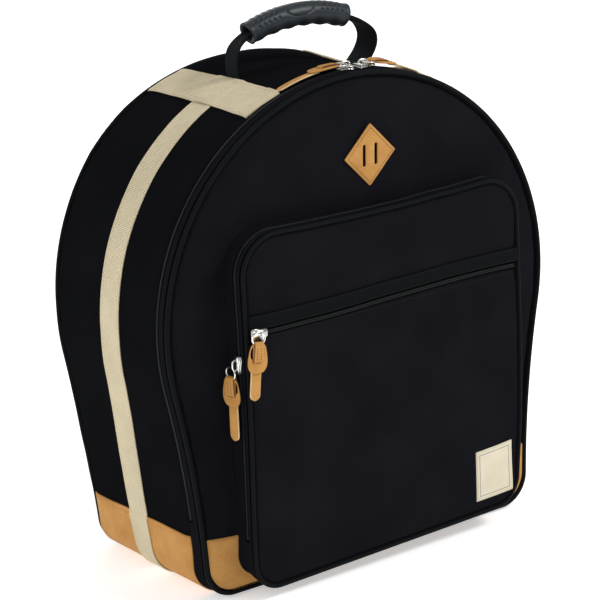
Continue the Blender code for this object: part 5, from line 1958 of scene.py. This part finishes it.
def pull_piece(label):
    """The folded strip in its own frame: y along the hang from the ring's wire, z outwards."""
    drape = PULL_DRAPE.get(label)

    def sag(place):
        reach = max(0.0, place - 0.011)
        return -reach * reach / (2 * drape) if drape else 0.0

    fold = [
        (0.0108 - 0.0019 * math.sin(turn), NECK_HALF, -0.0018 * math.cos(turn))
        for turn in spread(0.0, math.pi, 9)
    ]
    over = [
        (
            place, NECK_HALF + 0.0004 * smooth_step((place - NECK_START) / 0.01),
            sag(place) + STRAP_LIFT,
        )
        for place in spread(NECK_START, 0.0232, 6)
    ]
    dive = [
        (place, half, sag(place) + lift)
        for place, half, lift in (
            (0.0248, 0.0053, 0.0018), (0.0262, 0.0053, 0.0006), (0.0276, 0.0052, -0.0012)
        )
    ]
    last = TAIL_END[label]
    tail = [
        (place, tail_half(place, last), sag(place) - 0.0016) for place in spread(0.0290, last, 20)
    ]
    neck = pull_layer(f"{label}_neck", fold + over + dive, PRESSED)
    strip = joined(f"{label}_strip", [neck, pull_layer(f"{label}_tail", tail, CUT_EDGE)])
    head = leather_head(f"{label}_head", -1 if label == "slip_pocket" else 1)
    for vert in head.data.vertices:
        vert.co.z += sag(vert.co.y) + 0.0001
    dot = rounded_bar("pressed_dot", 0.0012, 0.0012, 0.0005, 6)
    dots = []
    for column in (-0.0019, 0.0019):
        points = [
            Vector((column, place, sag(place) + STRAP_LIFT + STRAP_THICKNESS / 2))
            for place in spread(0.0142, 0.0232, 12)
        ]
        dots.append(pressed_row(f"{label}_dots", points, dot, 0.0022))
    points = []
    for turn in spread(-1.2, 1.2, 14):
        place = 0.0256 + 0.0012 * math.cos(turn)
        points.append(Vector((0.0040 * math.sin(turn), place, sag(place) + 0.0013)))
    dots.append(pressed_row(f"{label}_slot", points, dot, 0.0013))
    drop(dot)
    return [strip, head] + dots


for label in FRAMES:
    body = label.replace("main_", "")
    shift = Vector(PULL_SHIFT.get(label, (0.0, 0.0, 0.0)))
    pivot = FRAMES[label] @ Matrix.Translation(shift)
    pivot = pivot @ Matrix.Translation((0.0, 0.0, RING_HEIGHT))
    pivot = pivot @ Matrix.Rotation(PULL_YAW.get(label, 0.0), 4, "Z")
    pivot = pivot @ Matrix.Rotation(PULL_LEAN.get(label, 0.0), 4, "X")
    roll = Matrix.Rotation(PULL_ROLL.get(label, 0.0), 4, "Y")
    rings = []
    for around in spread(0.0, 2 * math.pi, 41)[:-1]:
        y = RING_MIDDLE - RING_HALF_LENGTH * math.cos(around)
        point = Vector((RING_HALF_WIDTH * math.sin(around), y, 0.0))
        out = (point - Vector((0.0, RING_MIDDLE, 0.0))).normalized()
        rise = Vector((0.0, 0.0, RING_WIRE))
        rings.append([
            point + out * RING_WIRE * math.cos(turn) + rise * math.sin(turn) for turn in WIRE_TURNS
        ])
    ring = sweep(f"{label}_wire_ring", rings, True, [METAL])
    ring.data.transform(pivot)
    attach(ring, f"pull_{body}")
    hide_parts(f"{label}_ring")
    strap = joined(f"{label}_leather_pull", pull_piece(label))
    strap.data.transform(pivot @ roll)
    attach(strap, f"pull_{body}")
    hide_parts(f"{label}_pull")


# ---- Handle ----
# Black webbing loops up from both crown bands and runs folded through a moulded rubber grip. The
# grip is arched, with finger scallops beneath, a bare oval pad on top and rows of dimples.
GRIP_HALF = 0.0530
GRIP_ARCH = 0.0092
GRIP_TOP = 0.4885
GRIP_MIDDLE = 0.0068
GRIP_RADIUS = 0.0108
GRIP_BORE = 0.0066
GRIP_BORE_DEPTH = 0.08
GRIP_END = 0.995
DIMPLE_DEPTH = 0.0010
PAD_TURN = math.radians(-52)
ARC_RADIUS = (GRIP_HALF ** 2 + GRIP_ARCH ** 2) / (2 * GRIP_ARCH)
ARC_REACH = math.asin(GRIP_HALF / ARC_RADIUS)


def rubbed():
    rubber = Finish("grey_rubber", 0.36, Specular_IOR_Level=0.24)
    grain = rubber.cloud(1400.0, 2.0)
    wear = rubber.cloud(45.0, 3.0)
    return rubber.surface(
        Base_Color=rubber.mix(wear, (0.0110, 0.0160, 0.0205), (0.0200, 0.0270, 0.0335)),
        Roughness=0.33 + wear * 0.12,
        Normal=rubber.bump(grain, 0.00006),
    )


RUBBER = rubbed()


def grip_radius(share, turn):
    """The grip's radius at a share of its length and a turn from straight up."""
    radius = GRIP_RADIUS * (1 - 0.06 * abs(share) ** 3)
    rim = 0.0010 * math.exp(-((1 - abs(share)) / 0.030) ** 2)
    below = max(0.0, -math.cos(turn))
    scallop = 0.0006 * math.cos(share * math.pi * 6.0) * below
    spine = 0.00025 * math.cos(share * math.pi * 17.0) * max(0.0, math.cos(turn - 0.35)) ** 6
    spine *= smooth_step((abs(share) - 0.25) / 0.1)
    from_pad = math.atan2(math.sin(turn - PAD_TURN), math.cos(turn - PAD_TURN))
    across = from_pad * GRIP_RADIUS
    along = share * GRIP_HALF
    pad = 0.0
    dimples = 0.0
    if abs(from_pad) < 1.2:
        edge = math.hypot(across / 0.0066, along / 0.0136)
        pad = 0.0005 * smooth_step((1.0 - edge) / 0.10)
        pad -= 0.0006 * math.exp(-((edge - 1.0) / 0.09) ** 2)
        for step in range(5):
            centre = 0.0235 + step * 0.0054
            for row in (-0.0030, 0.0026):
                near = math.hypot(abs(along) - centre - 0.3 * row, across - row)
                dimples += smooth_step((0.0018 - near) / 0.0011)
    return radius + rim - scallop + spine + pad - DIMPLE_DEPTH * min(1.0, dimples)


def grip_ring(share, radius_at):
    angle = share * ARC_REACH
    out = heading(angle)
    centre = Vector((GRIP_MIDDLE, GRIP_TOP - ARC_RADIUS)) + out * ARC_RADIUS
    ring = []
    for turn in spread(0.0, 2 * math.pi, 109)[:-1]:
        radius = radius_at(share, turn)
        lift = out * radius * math.cos(turn)
        ring.append(Vector((centre.x + lift.x, radius * math.sin(turn) * 0.98, centre.y + lift.y)))
    return ring


def bore_ring(share):
    """A ring of the hole that the webbing runs into."""
    return grip_ring(share, lambda share, turn: GRIP_BORE)


def end_ring(side):
    """The ring where an end of the grip rounds over into its hole."""
    return grip_ring(side * 0.999, lambda share, turn: grip_radius(side, turn) - 0.0009)


grip_rings = [bore_ring(GRIP_BORE_DEPTH - 1.0), bore_ring(-GRIP_END), end_ring(-1)]
grip_rings += [grip_ring(share, grip_radius) for share in spread(-0.994, 0.994, 241)]
grip_rings += [end_ring(1), bore_ring(GRIP_END), bore_ring(1.0 - GRIP_BORE_DEPTH)]
grip = sweep("rubber_grip", grip_rings, False, [RUBBER])
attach(grip, "handle")
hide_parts("handle_grip")

BLACK_WEBBING = taped("black_webbing", 0.0013, 0.00024, 0.62, 1.15)


def cubic(corners, t):
    """A point on the curve that four corners steer."""
    a, b, c, d = corners
    s = 1 - t
    return a * (s ** 3) + b * (3 * s * s * t) + c * (3 * s * t * t) + d * (t ** 3)


def handle_leg(name, side, bulge, width):
    """One leg of the handle webbing: sewn under the crown band, up and over into the grip."""
    angle = (BAND_START[side] - 0.0014) / CROWN_RADIUS
    seat = CROWN_CENTRE + heading(side * angle) * (CROWN_RADIUS + 0.0016)
    seat = slumped(Vector((seat.x, 0.0, seat.y)))
    foot = Vector((seat.x, seat.z))
    end_angle = side * ARC_REACH
    end = Vector((GRIP_MIDDLE, GRIP_TOP - ARC_RADIUS)) + heading(end_angle) * ARC_RADIUS
    out = Vector((math.cos(end_angle), -math.sin(end_angle))) * side
    rise = end.y - foot.y
    knee = foot + Vector((side * rise * bulge, rise * 0.5))
    corners = (foot, knee, end + out * rise * 0.55, end - out * 0.0028)
    rings = []
    for t in spread(0.0, 1.0, 40):
        point = cubic(corners, t)
        ahead, behind = cubic(corners, min(1.0, t + 0.01)), cubic(corners, max(0.0, t - 0.01))
        along = (ahead - behind).normalized()
        normal = Vector((-along.y, along.x))
        gather = smooth_step((t - 0.55) / 0.4)
        half = width / 2 + (0.0060 - width / 2) * gather
        thick = 0.0010 + 0.0012 * gather
        ring = []
        for across, lift in hem_section(-half, half, -thick, thick, 11, 0.0008):
            cup = 0.0012 * gather * (1 - (across / half) ** 2) if half else 0.0
            shift = normal * (lift + cup * side)
            ring.append(Vector((point.x + shift.x, across, point.y + shift.y)))
        rings.append(ring)
    return sweep(name, rings, False, [BLACK_WEBBING])


HANDLE_LEGS = (("handle_leg_left", -1, 0.12, 0.018), ("handle_leg_right", 1, 0.62, 0.030))
for name, side, bulge, width in HANDLE_LEGS:
    leg = handle_leg(name, side, bulge, width)
    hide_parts("handle_webbing")
    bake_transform(leg)


bpy.context.view_layer.update()
